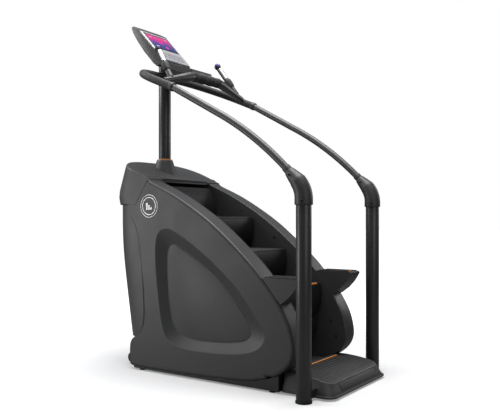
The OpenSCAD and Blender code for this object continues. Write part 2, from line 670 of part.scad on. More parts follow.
// Step folding round the lower sprockets.
bottom_r = 172;
module bottom_step() color([0.12, 0.12, 0.13]) {
    along_x(-step_x + 12, step_x - 12) translate(lower_axis)
        polygon(concat(arc([0, 0], bottom_r, 167, 225, 16), arc([0, 0], bottom_r - 14, 225, 167, 16)));
    for (x = [-arm_x, arm_x]) along_x(x - 4, x + 4) translate(lower_axis) difference() {
        union() {
            circle(r = 26);
            polygon(concat([[0, 24]], arc([0, 0], bottom_r - 10, 172, 215, 6), [[0, -24]]));
        }
        circle(r = shaft_r + rest_gap);
    }
}
motor_axis = [1030, 300];
motor_pulley_r = 34;
motor_shaft_r = 12;
module alternator() color([0.30, 0.30, 0.31]) {
    along_x(frame_x - 4, belt_x + 12) translate(motor_axis) circle(r = motor_shaft_r);
    along_x(belt_x - 10, belt_x + 10) translate(motor_axis) circle(r = motor_pulley_r);
    along_x(well_x + 12, frame_x - 2) translate(motor_axis) circle(r = 62);
}
belt_t = 3;
module drive_belt() color([0.03, 0.03, 0.03]) {
    d = norm(upper_axis - motor_axis);
    lean = atan2(upper_axis[1] - motor_axis[1], upper_axis[0] - motor_axis[0]);
    open = asin((pulley_r - motor_pulley_r) / d);
    ru = pulley_r + rest_gap;
    rm = motor_pulley_r + rest_gap;
    along_x(belt_x - 9, belt_x + 9) difference() {
        polygon(concat(arc(upper_axis, ru + belt_t, lean - 90 - open, lean + 90 + open, 40),
                       arc(motor_axis, rm + belt_t, lean + 90 + open, lean + 270 - open, 20)));
        polygon(concat(arc(upper_axis, ru, lean - 90 - open, lean + 90 + open, 40),
                       arc(motor_axis, rm, lean + 90 + open, lean + 270 - open, 20)));
    }
}

wheel_at = [212, 1300, 36];
module transport_wheel(side) color([0.06, 0.06, 0.06]) on_side(side) translate(wheel_at)
    rotate([0, 90, 0]) difference() {
        cylinder(h = 22, r = 32);
        translate([0, 0, -eps]) cylinder(h = 24, r = 6 + fit);
    }

placed() base_frame();
placed() side_frame(-1);  // left_side_frame
placed() side_frame(1);  // right_side_frame
placed() rear_crossmember();
placed() foot_pads();
placed() mast();
placed() side_cover(-1);  // left_side_cover
placed() side_cover(1);  // right_side_cover
placed() inner_wall(-1);  // left_inner_wall
placed() inner_wall(1);  // right_inner_wall
placed() accent_panels();
placed() badges();
placed() front_cover();
placed() kick_panel();
placed() floor_pan();
placed() power_inlet();
placed() hood();
placed() mast_boot();
placed() boot_ring();
placed() wing(-1);  // left_wing
placed() wing(1);  // right_wing
placed() wing_pads();
placed() entry_platform();
placed() platform_tread();
placed() platform_marker();
placed() rear_post(-1);  // left_rear_post
placed() rear_post(1);  // right_rear_post
placed() post_elbow(-1);  // left_post_elbow
placed() post_elbow(1);  // right_post_elbow
placed() elbow_bolts();
placed() handrail(-1);  // left_handrail
placed() handrail(1);  // right_handrail
placed() front_rail_loop();
placed() crossbar();
placed() crossbar_grip();
placed() pulse_arm(-1);  // left_pulse_arm
placed() pulse_arm(1);  // right_pulse_arm
placed() pulse_grips();
placed() pulse_plates();
placed() handle_button(-1);  // left_handle_button
placed() handle_button(1);  // right_handle_button
placed() console_neck();
placed() console_housing();
placed() console_bezel();
placed() display();
placed() console_tray();
placed() stop_button();
placed() step(1);  // step_1
placed() step(2);  // step_2
placed() step(3);  // step_3
placed() front_chains();
placed() return_steps();
placed() top_step();
placed() bottom_step();
placed() upper_shaft();
placed() lower_shaft();
placed() alternator();
placed() drive_belt();
placed() transport_wheel(-1);  // left_transport_wheel
placed() transport_wheel(1);  // right_transport_wheel
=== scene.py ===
"""Looks of the stair climber: moulded shells, steps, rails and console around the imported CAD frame."""

import itertools
import math

import bmesh
import bpy
import numpy as np
from mathutils import Matrix, Vector


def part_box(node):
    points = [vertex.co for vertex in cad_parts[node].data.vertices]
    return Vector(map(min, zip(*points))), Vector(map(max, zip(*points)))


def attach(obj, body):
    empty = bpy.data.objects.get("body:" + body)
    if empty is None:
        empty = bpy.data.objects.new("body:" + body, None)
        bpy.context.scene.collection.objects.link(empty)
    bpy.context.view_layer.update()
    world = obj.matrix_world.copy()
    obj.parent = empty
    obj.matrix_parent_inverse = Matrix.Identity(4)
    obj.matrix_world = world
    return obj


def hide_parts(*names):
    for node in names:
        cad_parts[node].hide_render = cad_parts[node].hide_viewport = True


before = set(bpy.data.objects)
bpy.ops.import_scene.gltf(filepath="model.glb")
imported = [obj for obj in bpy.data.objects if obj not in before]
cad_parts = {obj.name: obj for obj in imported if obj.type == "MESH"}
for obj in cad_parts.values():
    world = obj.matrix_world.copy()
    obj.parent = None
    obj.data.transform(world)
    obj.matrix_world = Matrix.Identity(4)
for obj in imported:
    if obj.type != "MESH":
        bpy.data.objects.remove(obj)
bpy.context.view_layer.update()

# ---- driving sizes, in metres ----------------------------------------------
# Heights are above the floor; y is measured from the plane of the rear posts.
MID_Y = 0.646                    # middle of the footprint
POST_X = 0.398                   # posts and handrails, from the centre plane
SHELL_X = 0.346                  # outside of the side covers
COVER_X = 0.2305                 # inner edge of the side covers
WELL_X = 0.225                   # well face of the inner walls
WALL = 0.004                     # thickness of the moulded shells
BOWL_DEPTH = 0.030
PANEL_GAP = 0.0056               # from the bowl's lower edge to the accent panel
BADGE_AT = (1.051, 0.955)        # middle of a badge, y and z
BADGE_RINGS = ((0.0660, 0.0625), (0.0520, 0.0470))      # outer and inner radii
HEAD_Z = 0.966                   # seam between the front cover and the hood
FOOT_Z = 0.190                   # foot of the front cover
HOOD_EDGE = (1.063, 1.113)       # well edge of the hood, y and z
HOOD_SLOPE = math.radians(24.4)
HOOD_SEAM = ((HEAD_Z, 1.100), (1.160, 1.066))           # its slanting side edge, heights and y
POST_TOP = 0.950
RAIL_R = 0.019
LOOP_R = 0.0225
RAIL_START = (0.082, 1.116)      # where a handrail leaves its casting, y and z
RAIL_ARC_R = 1.840
RAIL_SLOPES = (math.radians(45), math.radians(28.5))
RAIL_STRAIGHT = 0.372
LOOP_SLOPE = math.radians(22.6)
LOOP_CORNER = 0.280
LOOP_FRONT_Y = 1.202
ELBOW_R = 0.130
BAR_Y = 0.908                    # crossbar
BAR_Z = 1.721
PULSE_BASE = Vector((0.318, 0.912 - MID_Y, 1.684))
PULSE_TIP = Vector((0.283, 1.052 - MID_Y, 1.892))
CONSOLE_LOW = (1.135, 1.852)     # lower edge of the console's face, y and z
CONSOLE_TILT = math.radians(46.3)
CONSOLE_X = 0.134
CONSOLE_LEN = 0.296
SCREEN_X = 0.1115
SCREEN_RISE = (0.1175, 0.2735)   # lower and upper edge of the screen, up the face
STEP_NOSES = {"step_1": (0.709, 0.892), "step_2": (0.474, 0.704), "step_3": (0.239, 0.516)}
STEP_X = 0.215
PAD_Y = (0.0722, 0.262)          # pads of the wings
PAD_Z = (0.5832, 0.5872)
PLATFORM_X = 0.318
PLATFORM_REAR = -0.110
PLATFORM_FRONT = 0.170
PLATFORM_LIP = 0.008
PLATFORM_FOOT = 0.028            # where the platform's wall starts above its lip
PLATFORM_TOP = [(-0.118, 0.0740), (-0.088, 0.0745), (-0.060, 0.0830), (-0.017, 0.0940), (0.040, 0.1025),
                (0.098, 0.1073), (0.130, 0.1080), (0.170, 0.1080)]
PLATFORM_WALL = (0.0212, 0.0420)    # how far the wall leans in, and how high it rises
SIDES = {"left": -1, "right": 1}
QUARTER = math.pi / 2


def at(x, y, z):
    """A point given from the plane of the posts, in the frame's own axes."""
    return Vector((x, y - MID_Y, z))


def console_axes():
    """Origin and the three directions of the console's face: across, up the face, out to the user."""
    sin, cos = math.sin(CONSOLE_TILT), math.cos(CONSOLE_TILT)
    return at(0, *CONSOLE_LOW), Vector((1, 0, 0)), Vector((0, cos, sin)), Vector((0, -sin, cos))


# ---- materials -------------------------------------------------------------

def feed(tree, node, inputs):
    """Sets a node's inputs; one that is given a socket is linked to it."""
    for key, value in inputs.items():
        if isinstance(value, bpy.types.NodeSocket):
            tree.links.new(value, node.inputs[key])
        else:
            node.inputs[key].default_value = value
    return node


def add(tree, kind, inputs=None, **settings):
    node = tree.nodes.new("ShaderNode" + kind)
    for key, value in settings.items():
        setattr(node, key, value)
    return feed(tree, node, inputs or {})


def new_material(name, color, roughness, metallic=0.0, specular=0.5, coat=0.0, coat_roughness=0.1):
    mat = bpy.data.materials.new(name)
    mat.use_nodes = True
    tree = mat.node_tree
    shader = feed(tree, tree.nodes["Principled BSDF"], {
        "Base Color": (*color, 1), "Roughness": roughness, "Metallic": metallic,
        "Specular IOR Level": specular, "Coat Weight": coat, "Coat Roughness": coat_roughness})
    return mat, tree, shader


def place(tree, scale=(1, 1, 1)):
    """Object-space coordinates, stretched by scale."""
    coords = add(tree, "TexCoord").outputs["Object"]
    return add(tree, "Mapping", {"Vector": coords, "Scale": scale}).outputs["Vector"]


def noise(tree, vector, scale, detail, roughness=0.5):
    inputs = {"Vector": vector, "Scale": scale, "Detail": detail, "Roughness": roughness}
    return add(tree, "TexNoise", inputs).outputs["Fac"]


def ramp(tree, value, stops):
    node = add(tree, "ValToRGB", {"Fac": value})
    elements = node.color_ramp.elements
    while len(elements) < len(stops):
        elements.new(0.5)
    for element, (position, color) in zip(elements, stops):
        element.position = position
        element.color = (*color, 1)
    return node.outputs["Color"]


def remap(tree, value, low, high):
    """Spreads the middle half of a noise from low to high."""
    inputs = {"Value": value, "From Min": 0.25, "From Max": 0.75, "To Min": low, "To Max": high}
    return add(tree, "MapRange", inputs).outputs["Result"]


def bump(tree, shader, height, strength, distance):
    """Adds relief on top of any that the shader has."""
    inputs = {"Height": height, "Strength": strength, "Distance": distance}
    normal = shader.inputs["Normal"]
    if normal.is_linked:
        inputs["Normal"] = normal.links[0].from_socket
    feed(tree, shader, {"Normal": add(tree, "Bump", inputs).outputs["Normal"]})


def mottled(tree, shader, vector, color, scale, spread):
    """Base colour that drifts a little round the given one."""
    dark, light = ([c * k for c in color] for k in (1 - spread, 1 + spread))
    drift = noise(tree, vector, scale, 4.0)
    feed(tree, shader, {"Base Color": ramp(tree, drift, [(0.3, dark), (0.7, light)])})


def surface(name, color, roughness, mottle, drift, relief, stretch=(1, 1, 1), fray=0.5, **shading):
    """A surface whose colour, gloss and relief vary, each by its own noise.

    mottle is the scale and spread of the colour; drift is the scale and detail of the roughness, and how
    far it falls and rises; relief is the scale, detail, strength and height of each bump.
    """
    mat, tree, shader = new_material(name, color, roughness, **shading)
    vector = place(tree, stretch)
    mottled(tree, shader, vector, color, *mottle)
    scale, detail, fall, rise = drift
    gloss = noise(tree, vector, scale, detail, fray)
    feed(tree, shader, {"Roughness": remap(tree, gloss, roughness - fall, roughness + rise)})
    for scale, detail, strength, height in relief:
        bump(tree, shader, noise(tree, vector, scale, detail, fray), strength, height)
    return mat


def moulded_plastic(name, color, roughness, grain=0.10, specular=0.45):
    """Injection-moulded plastic: a fine spark-eroded grain over faint sink marks."""
    return surface(name, color, roughness, (3.0, 0.06), (7.0, 5.0, 0.05, 0.06),
                   [(700.0, 2.0, grain, 0.00025), (9.0, 1.0, 0.05, 0.004)], specular=specular)


def powder_coat(name, color, roughness, metallic=0.0):
    """Paint on steel tube, with a faint orange-peel."""
    return surface(name, color, roughness, (14.0, 0.05), (40.0, 4.0, 0.04, 0.05),
                   [(260.0, 2.0, 0.06, 0.0002)], metallic=metallic, specular=0.45, coat=0.12,
                   coat_roughness=0.30)


def rubber(name, color, roughness):
    return surface(name, color, roughness, (30.0, 0.10), (60.0, 5.0, 0.08, 0.08),
                   [(1400.0, 3.0, 0.15, 0.0002)], specular=0.35)


def brushed_metal(name, color, roughness, stretch):
    """Bare metal with fine lines along the axis whose stretch is small."""
    return surface(name, color, roughness, (60.0, 0.08), (500.0, 4.0, 0.08, 0.12),
                   [(500.0, 4.0, 0.05, 0.0001)], stretch, 0.6, metallic=1.0)


def lacquer(name, color, roughness, metallic=0.0):
    """Smooth sprayed or moulded gloss finish."""
    return surface(name, color, roughness, (5.0, 0.03), (25.0, 3.0, 0.03, 0.04),
                   [(1500.0, 2.0, 0.03, 0.0002)], metallic=metallic, coat=0.4, coat_roughness=0.12)


def ribbed_belt(name, color):
    mat, tree, shader = new_material(name, color, 0.6, specular=0.4)
    vector = place(tree)
    mottled(tree, shader, vector, color, 30.0, 0.15)
    wave = add(tree, "TexWave", {"Vector": vector, "Scale": 120.0}, bands_direction="X")
    bump(tree, shader, wave.outputs["Fac"], 0.8, 0.0008)
    return mat


SCREEN_SKY = [(0.28, (0.01, 0.03, 0.14)), (0.52, (0.06, 0.07, 0.30)), (0.72, (0.20, 0.06, 0.42)),
              (0.92, (0.72, 0.03, 0.28)), (1.0, (0.85, 0.06, 0.32))]
SCREEN_DISCS = [((0.50, 0.55), 0.13, (0.95, 0.02, 0.25)), ((0.63, 0.26), 0.10, (1.0, 0.03, 0.45)),
                ((0.20, 0.80), 0.07, (0.9, 0.35, 0.6)), ((0.86, 0.86), 0.06, (0.95, 0.45, 0.6))]


def lit_screen(name):
    """A glowing abstract picture: pink above, violet and blue below, soft discs of light."""
    mat, tree, shader = new_material(name, (0.004, 0.004, 0.005), 0.20, specular=0.2, coat=0.1,
                                     coat_roughness=0.03)
    origin, across, up = console_axes()[:3]
    spot = add(tree, "TexCoord").outputs["Object"]

    def along(direction, low, high):
        dot = add(tree, "VectorMath", {0: spot, 1: direction}, operation="DOT_PRODUCT").outputs["Value"]
        return add(tree, "MapRange", {"Value": dot, "From Min": low + origin.dot(direction),
                                      "From Max": high + origin.dot(direction)}).outputs["Result"]

    u, v = along(across, -SCREEN_X, SCREEN_X), along(up, *SCREEN_RISE)
    swirl = noise(tree, place(tree), 13.0, 3.0)
    level = add(tree, "Math", {0: swirl, 1: 0.5, 2: v}, operation="MULTIPLY_ADD").outputs["Value"]
    picture = ramp(tree, level, SCREEN_SKY)
    flat = add(tree, "CombineXYZ", {"X": u, "Y": v}).outputs["Vector"]
    for centre, radius, color in SCREEN_DISCS:
        distance = add(tree, "VectorMath", {0: flat, 1: (*centre, 0)}, operation="DISTANCE").outputs["Value"]
        glow = add(tree, "MapRange", {"Value": distance, "From Min": radius, "From Max": radius * 0.4},
                   interpolation_type="SMOOTHSTEP").outputs["Result"]
        mix = add(tree, "Mix", {"Factor": glow, "A": picture, "B": (*color, 1)}, data_type="RGBA")
        picture = mix.outputs["Result"]
    feed(tree, shader, {"Emission Color": picture, "Emission Strength": 0.9})
    mat.cycles.emission_sampling = "NONE"
    return mat


# Kind of finish, then for each material what its function takes after the name.
FINISHES = {
    moulded_plastic: {
        "cover_plastic": ((0.036, 0.036, 0.037), 0.46),
        "panel_plastic": ((0.045, 0.045, 0.046), 0.50, 0.05),
        "well_plastic": ((0.033, 0.033, 0.034), 0.55),
        "platform_plastic": ((0.030, 0.030, 0.031), 0.48),
        "console_plastic": ((0.034, 0.034, 0.035), 0.42),
        "step_plastic": ((0.008, 0.008, 0.008), 0.50, 0.10, 0.22),
        # near-black plastic of the inlet, wheel hubs and screen border; on the brow slot and the platform
        # panel's gap it is painted shade
        "inlet_plastic": ((0.010, 0.010, 0.010), 0.40),
    },
    powder_coat: {
        "frame_steel": ((0.012, 0.012, 0.012), 0.42),
        "post_paint": ((0.022, 0.022, 0.023), 0.34),
        "elbow_paint": ((0.024, 0.024, 0.025), 0.52),
        "rail_paint": ((0.042, 0.042, 0.044), 0.42, 0.1),
    },
    rubber: {
        "foot_rubber": ((0.010, 0.010, 0.010), 0.75),
        "tread_rubber": ((0.022, 0.022, 0.022), 0.62),
        "grip_rubber": ((0.020, 0.020, 0.021), 0.62),
        "wheel_rubber": ((0.012, 0.012, 0.012), 0.6),
    },
    ribbed_belt: {
        "belt_rubber": ((0.010, 0.010, 0.010),),
    },
    brushed_metal: {
        "badge_silver": ((0.46, 0.46, 0.47), 0.42, (1, 0.05, 1)),
        "sensor_steel": ((0.60, 0.60, 0.62), 0.34, (1, 1, 0.05)),
        "chain_steel": ((0.30, 0.29, 0.27), 0.40, (1, 0.1, 1)),
        "shaft_steel": ((0.50, 0.50, 0.51), 0.35, (0.1, 1, 1)),
        "bolt_steel": ((0.03, 0.03, 0.03), 0.38, (1, 1, 1)),
    },
    lacquer: {
        "bezel_silver": ((0.36, 0.36, 0.37), 0.30, 0.30),
        "keypad": ((0.19, 0.19, 0.205), 0.40),
        "key_grey": ((0.10, 0.10, 0.11), 0.42),
        "key_blue": ((0.07, 0.14, 0.34), 0.40),
        "amber_plastic": ((0.72, 0.28, 0.06), 0.35),
        "button_violet": ((0.05, 0.05, 0.42), 0.30),
        "button_amber": ((0.60, 0.28, 0.03), 0.30),
    },
    lit_screen: {
        "screen_glass": (),
    },
}
MATERIALS = {name: kind(name, *settings) for kind, group in FINISHES.items()
             for name, settings in group.items()}
SLOT_OF = dict.fromkeys(("keypad", "key_grey", "key_blue"), "bezel_silver")     # looks meant to share a slot; nothing in this script reads it


# ---- mesh helpers ----------------------------------------------------------

def piece(name, verts, faces, slot, body="frame", replaces=(), smooth=35.0):
    """Adds a mesh piece: outward normals, soft shading, its material, body and the nodes it stands for."""
    mesh = bpy.data.meshes.new(name)
    mesh.from_pydata([tuple(v) for v in verts], [], faces)
    mesh.validate()
    tidy = bmesh.new()
    tidy.from_mesh(mesh)
    bmesh.ops.remove_doubles(tidy, verts=tidy.verts, dist=1e-6)
    bmesh.ops.recalc_face_normals(tidy, faces=tidy.faces)
    tidy.to_mesh(mesh)
    tidy.free()
    obj = bpy.data.objects.new(name, mesh)
    bpy.context.scene.collection.objects.link(obj)
    soften(obj, smooth)
    finish_piece(obj, slot, body, replaces)
    return obj


def soften(obj, angle):
    obj.data.shade_smooth()
    obj.data.set_sharp_from_angle(angle=math.radians(angle))


def paint(obj, slot):
    obj.data.materials.clear()
    obj.data.materials.append(MATERIALS[slot])


def finish_piece(obj, slot, body="frame", replaces=()):
    paint(obj, slot)
    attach(obj, body)
    if replaces:
        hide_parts(*replaces)


def solidify(obj, thickness, edge=0.0, offset=-1):
    """Gives an open skin its wall, inwards unless offset is 1, and rounds the free edges."""
    shell = obj.modifiers.new("wall", "SOLIDIFY")
    shell.thickness = thickness
    shell.offset = offset
    if edge:
        bevel(obj, edge, 60, 2)
    apply_modifiers(obj)
    soften(obj, 35)


def bevel(obj, width, angle=35, segments=3):
    rounding = obj.modifiers.new("rounding", "BEVEL")
    rounding.width = width
    rounding.segments = segments
    rounding.limit_method = "ANGLE"
    rounding.angle_limit = math.radians(angle)
    return rounding


def apply_modifiers(obj):
    evaluated = obj.evaluated_get(bpy.context.evaluated_depsgraph_get())
    mesh = bpy.data.meshes.new_from_object(evaluated)
    obj.modifiers.clear()
    obj.data = mesh


def cut(obj, cutter):
    """Takes the cutter's volume out of obj and removes the cutter."""
    hole = obj.modifiers.new("cut", "BOOLEAN")
    hole.operation = "DIFFERENCE"
    hole.object = cutter
    hole.solver = "EXACT"
    apply_modifiers(obj)
    bpy.data.objects.remove(cutter)


def skin(rings, closed=True, capped=False):
    """Quads between neighbouring rings of equal length, with flat caps at both ends where asked."""
    count = len(rings[0])
    verts = [p for ring in rings for p in ring]
    faces = []
    for row in range(0, (len(rings) - 1) * count, count):
        for i in range(count if closed else count - 1):
            j = (i + 1) % count
            faces.append((row + i, row + j, row + count + j, row + count + i))
    if capped:
        faces += [tuple(range(count))[::-1], tuple(range(len(verts) - count, len(verts)))]
    return verts, faces


def solid(rings):
    return skin(rings, capped=True)


def joined(parts):
    """Several skins as one."""
    verts, faces = [], []
    for part_verts, part_faces in parts:
        faces += [tuple(i + len(verts) for i in face) for face in part_faces]
        verts += part_verts
    return verts, faces


def turned(count):
    """Angles once round a circle."""
    return np.linspace(0, 2 * math.pi, count, endpoint=False)


def circle(centre, across, up, radius, count):
    return [centre + (across * math.cos(a) + up * math.sin(a)) * radius for a in turned(count)]


def arc(x, y, radius, start, count):
    """Points of a quarter circle round (x, y), from a start angle in degrees."""
    return [(x + radius * math.cos(a), y + radius * math.sin(a))
            for a in np.radians(np.linspace(start, start + 90, count))]


def between(a, b, c, d, t):
    """A point on the smooth curve from b to c."""
    return 0.5 * (2 * b + (c - a) * t + (2 * a - 5 * b + 4 * c - d) * t ** 2
                  + (3 * b - a - 3 * c + d) * t ** 3)


def spaced(points, count, closed=False):
    """The polyline resampled to count points, evenly along its length."""
    pts = np.vstack([points, points[:1]]) if closed else points
    travelled = np.concatenate([[0], np.cumsum(np.linalg.norm(np.diff(pts, axis=0), axis=1))])
    wanted = np.linspace(0, travelled[-1], count, endpoint=not closed)
    return np.stack([np.interp(wanted, travelled, pts[:, k]) for k in range(pts.shape[1])], axis=1)


def curve_through(points, count):
    """A smooth open curve through the points, as count evenly spaced points."""
    pts = np.array([tuple(p) for p in points], float)
    padded = np.vstack([2 * pts[0] - pts[1], pts, 2 * pts[-1] - pts[-2]])
    fine = [between(*padded[i:i + 4], t) for i in range(len(pts) - 1)
            for t in np.linspace(0, 1, 24, endpoint=False)]
    return [Vector(p) for p in spaced(np.array(fine + [pts[-1]]), count)]


def smooth_loop(points, count):
    """A closed outline resampled on a smooth curve through its points."""
    pts = np.asarray(points, float)
    size = len(pts)
    fine = [between(*(pts[(i + k) % size] for k in (-1, 0, 1, 2)), t) for i in range(size)
            for t in (0, 0.2, 0.4, 0.6, 0.8)]
    return spaced(np.array(fine), count, closed=True)


def inward(loop):
    """Unit vectors that point into a closed outline, at each of its points."""
    tangent = np.roll(loop, -1, axis=0) - np.roll(loop, 1, axis=0)
    normal = np.stack([-tangent[:, 1], tangent[:, 0]], axis=1)
    normal /= np.linalg.norm(normal, axis=1)[:, None]
    x, y = loop[:, 0], loop[:, 1]
    area = np.sum(x * np.roll(y, -1) - np.roll(x, -1) * y)
    return normal if area > 0 else -normal


def smoothstep(low, high, value):
    t = np.clip((value - low) / (high - low), 0, 1)
    return t * t * (3 - 2 * t)


def tube(name, path, radius, slot, replaces=(), sides=40, rounding=0.002, smooth=40.0):
    """A bar with rounded ends along a path; radius is one number, or one for each point."""
    radii = list(radius) if hasattr(radius, "__len__") else [radius] * len(path)
    last = len(path) - 1
    side = None
    rings = []
    for i, point in enumerate(path):
        direction = (path[min(i + 1, last)] - path[max(i - 1, 0)]).normalized()
        side = side or direction.orthogonal().normalized()
        side = (side - direction * side.dot(direction)).normalized()
        other = direction.cross(side)
        shifts = [(0.0, 0.0)]
        if i in (0, last):
            sign = 1 if i == 0 else -1
            shifts = [(sign * rounding * (1 - math.cos(a)), rounding * (1 - math.sin(a)))
                      for a in np.linspace(0, QUARTER, 5)[::sign]]
        rings += [circle(point + direction * forward, side, other, radii[i] - inset, sides)
                  for forward, inset in shifts]
    return piece(name, *solid(rings), slot, "frame", replaces, smooth)


def slab(name, outline, x0, x1, slot, replaces=(), edge=0.001):
    """A flat plate across the machine from a [y, z] outline, its outer edge rounded."""
    loop = np.asarray(outline)
    into = inward(loop)
    sign = 1 if x1 > x0 else -1
    rings = [[Vector((x0, *p)) for p in loop]]
    for a in np.linspace(0, QUARTER, 5):
        x = x1 - sign * edge * (1 - math.sin(a))
        rings.append([Vector((x, *p)) for p in loop + into * edge * (1 - math.cos(a))])
    return piece(name, *solid(rings), slot, "frame", replaces)


def tilted(origin, angle):
    """A matrix that turns about the x axis and moves to the origin."""
    return Matrix.Translation(origin) @ Matrix.Rotation(angle, 4, "X")


def block(name, low, high, slot, body="frame", replaces=(), edge=0.002, turn=Matrix()):
    """A box with rounded edges between two corners; turn is a matrix that places it."""
    corners = [turn @ Vector(corner) for corner in itertools.product(*zip(low, high))]
    faces = [(0, 1, 3, 2), (4, 6, 7, 5), (0, 4, 5, 1), (2, 3, 7, 6), (0, 2, 6, 4), (1, 5, 7, 3)]
    obj = piece(name, corners, faces, slot, body, replaces)
    bevel(obj, edge)
    apply_modifiers(obj)
    soften(obj, 35)
    return obj


def bolt(name, centre, direction, radius, height, replaces=()):
    """A button-head bolt with a hexagon socket."""
    direction = Vector(direction).normalized()
    side = direction.orthogonal().normalized()
    other = direction.cross(side)
    head = [(1, 0), (1, 0.35), (0.92, 0.65), (0.7, 0.92), (0.55, 1)]
    socket = [(0.5, 0.96), (0.48, 0.3)]
    rings = []
    for across, up in head + socket:
        ring = circle(Vector(), side, other, radius * across, 36)
        if (across, up) in socket:
            sixth = math.pi / 6
            ring = [p * math.cos(sixth) / math.cos(a % (2 * sixth) - sixth) for p, a in zip(ring, turned(36))]
        rings.append([centre + direction * height * up + p for p in ring])
    return piece(name, *solid(rings), "bolt_steel", "frame", replaces, 30)


def rib_rows(name, ys, section, half, height_at, body="frame", replaces=()):
    """Rubber ribs across the machine, one from each y on, standing on the surface that height_at gives."""
    parts = []
    for y in ys:
        rings = [[at(x, y + dy, height_at(y + dy) + dz) for dy, dz in section] for x in (-half, half)]
        parts.append(solid(rings))
    return piece(name, *joined(parts), "tread_rubber", body, replaces)


def plane_loops(node, x):
    """Outlines, in y and z, of a CAD node's flat faces in the plane at x, longest first."""
    mesh = bmesh.new()
    mesh.from_mesh(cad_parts[node].data)
    bmesh.ops.remove_doubles(mesh, verts=mesh.verts, dist=1e-6)
    tolerance = 2e-5
    flat = {f for f in mesh.faces if all(abs(v.co.x - x) < tolerance for v in f.verts)}
    links = {}
    for edge in mesh.edges:
        if sum(f in flat for f in edge.link_faces) == 1:
            a, b = edge.verts
            links.setdefault(a, []).append(b)
            links.setdefault(b, []).append(a)
    loops = []
    while links:
        start = next(iter(links))
        loop, here, before = [], start, None
        while here is not None and here in links:
            loop.append((here.co.y, here.co.z))
            ahead = [v for v in links.pop(here) if v is not before and v in links]
            before, here = here, (ahead[0] if ahead else None)
        loops.append(np.array(loop))
    mesh.free()
    return sorted(loops, key=lambda l: -np.sum(np.linalg.norm(np.roll(l, 1, axis=0) - l, axis=1)))


def dress(node, slot, width=0.0, angle=35, segments=3):
    """Gives a CAD node its material, and rounds its edges where a width is given."""
    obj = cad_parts[node]
    paint(obj, slot)
    if width:
        weld = obj.modifiers.new("weld", "WELD")
        weld.merge_threshold = 1e-5
        bevel(obj, width, angle, segments).harden_normals = True


# ---- side shells -----------------------------------------------------------

def polar(loop, centre, angles):
    """Distance from the centre to a closed outline in each direction."""
    here = loop - centre
    ahead = np.roll(here, -1, axis=0)
    found = []
    for a in angles:
        d = np.array([math.cos(a), math.sin(a)])
        cross, cross_ahead = (p[:, 0] * d[1] - p[:, 1] * d[0] for p in (here, ahead))
        hit = (cross <= 0) != (cross_ahead <= 0)
        t = cross[hit] / (cross[hit] - cross_ahead[hit])
        reach = (here[hit] + (ahead[hit] - here[hit]) * t[:, None]) @ d
        found.append(reach[reach > 0].max())
    return np.array(found)


BOWL_FILLET = 0.035              # half width of the bowl's rounded edges, as a share of its slope
BOWL_SHARES = [*(k * BOWL_FILLET for k in (-2, -1, -0.5, 0, 0.5, 1)), 0.3, 0.5, 0.7,
               *(1 + k * BOWL_FILLET for k in (-1, -0.5, 0, 0.5, 1))]


def bowl_depth(u):
    """Depth, from 0 to 1, of the bowl's slope at a share u of its way down."""
    f = BOWL_FILLET
    if u <= -f:
        return 0.0
    if u < f:
        return (u + f) ** 2 / (4 * f)
    if u <= 1 - f:
        return u
    return 1 - (1 + f - u) ** 2 / (4 * f)


def side_cover(name, side, outline, rim, floor):
    """Moulded half shell: rounded rim, flat side, and the bowl with its window."""
    count, rays = 420, 320
    loop = smooth_loop(outline, count)
    into = inward(loop)
    y, z = loop[:, 0] + MID_Y, loop[:, 1]
    seam = smoothstep(1.07, 1.12, y) * smoothstep(0.165, 0.192, z)       # 1 along the front seam
    radius = 0.012 * (1 - seam) + 0.0015 * seam
    groove = 0.0014 * (1 - seam)
    back_edge = 0.005

    def ring(x, inset):
        points = loop + into * np.broadcast_to(inset, (count,))[:, None]
        return [Vector((side * out, *p)) for out, p in zip(np.broadcast_to(x, (count,)), points)]

    rings = [ring(COVER_X + 0.0002, 0.012)]
    rings += [ring(COVER_X + back_edge * (1 - math.sin(a)), back_edge * (1 - math.cos(a)))
              for a in np.linspace(0, QUARTER, 5)[::-1]]
    rings += [ring(x, 0.0) for x in (0.27, 0.31)]
    rings += [ring(SHELL_X - radius * (1 - math.sin(a)), radius * (1 - math.cos(a)))
              for a in np.linspace(0, QUARTER, 9)]
    rings += [ring(SHELL_X - groove * share, radius + extra)
              for extra, share in ((0.0008, 0), (0.0014, 1), (0.0024, 1), (0.0030, 0), (0.0048, 0))]

    # the bowl, by rays from its middle
    centre = floor.mean(axis=0)
    angles = turned(rays)
    rim_r, floor_r = polar(rim, centre, angles), polar(floor, centre, angles)

    def bowl_ring(share, reach):
        x = side * (SHELL_X - BOWL_DEPTH * share)
        return [Vector((x, centre[0] + r * math.cos(a), centre[1] + r * math.sin(a)))
                for r, a in zip(reach, angles)]

    bowl = [bowl_ring(bowl_depth(u), rim_r + (floor_r - rim_r) * u) for u in BOWL_SHARES]
    bowl.append(bowl_ring(1, floor_r - 0.0052))
    verts, faces = joined([skin(rings), skin(bowl)])

    # the flat between the rim's last ring and the bowl's first
    mesh = bmesh.new()
    points = [mesh.verts.new(v) for v in verts]
    for face in faces:
        mesh.faces.new([points[i] for i in face])
    edges = [mesh.edges.get((points[first + i], points[first + (i + 1) % size]))
             for first, size in (((len(rings) - 1) * count, count), (len(rings) * count, rays))
             for i in range(size)]
    bmesh.ops.triangle_fill(mesh, edges=edges, use_beauty=True)
    mesh.verts.index_update()
    faces = [tuple(v.index for v in face.verts) for face in mesh.faces]
    mesh.free()
    obj = piece(name, verts, faces, "cover_plastic", replaces=(name.replace("_shell", "_side_cover"),))
    solidify(obj, WALL)


def accent_panel(name, side, floor):
    loop = smooth_loop(floor, 220)
    front = SHELL_X - BOWL_DEPTH - 0.0003
    slab(name, loop + inward(loop) * PANEL_GAP, side * (front - 0.0045), side * front, "panel_plastic",
         replaces=("accent_panels",), edge=0.0008)


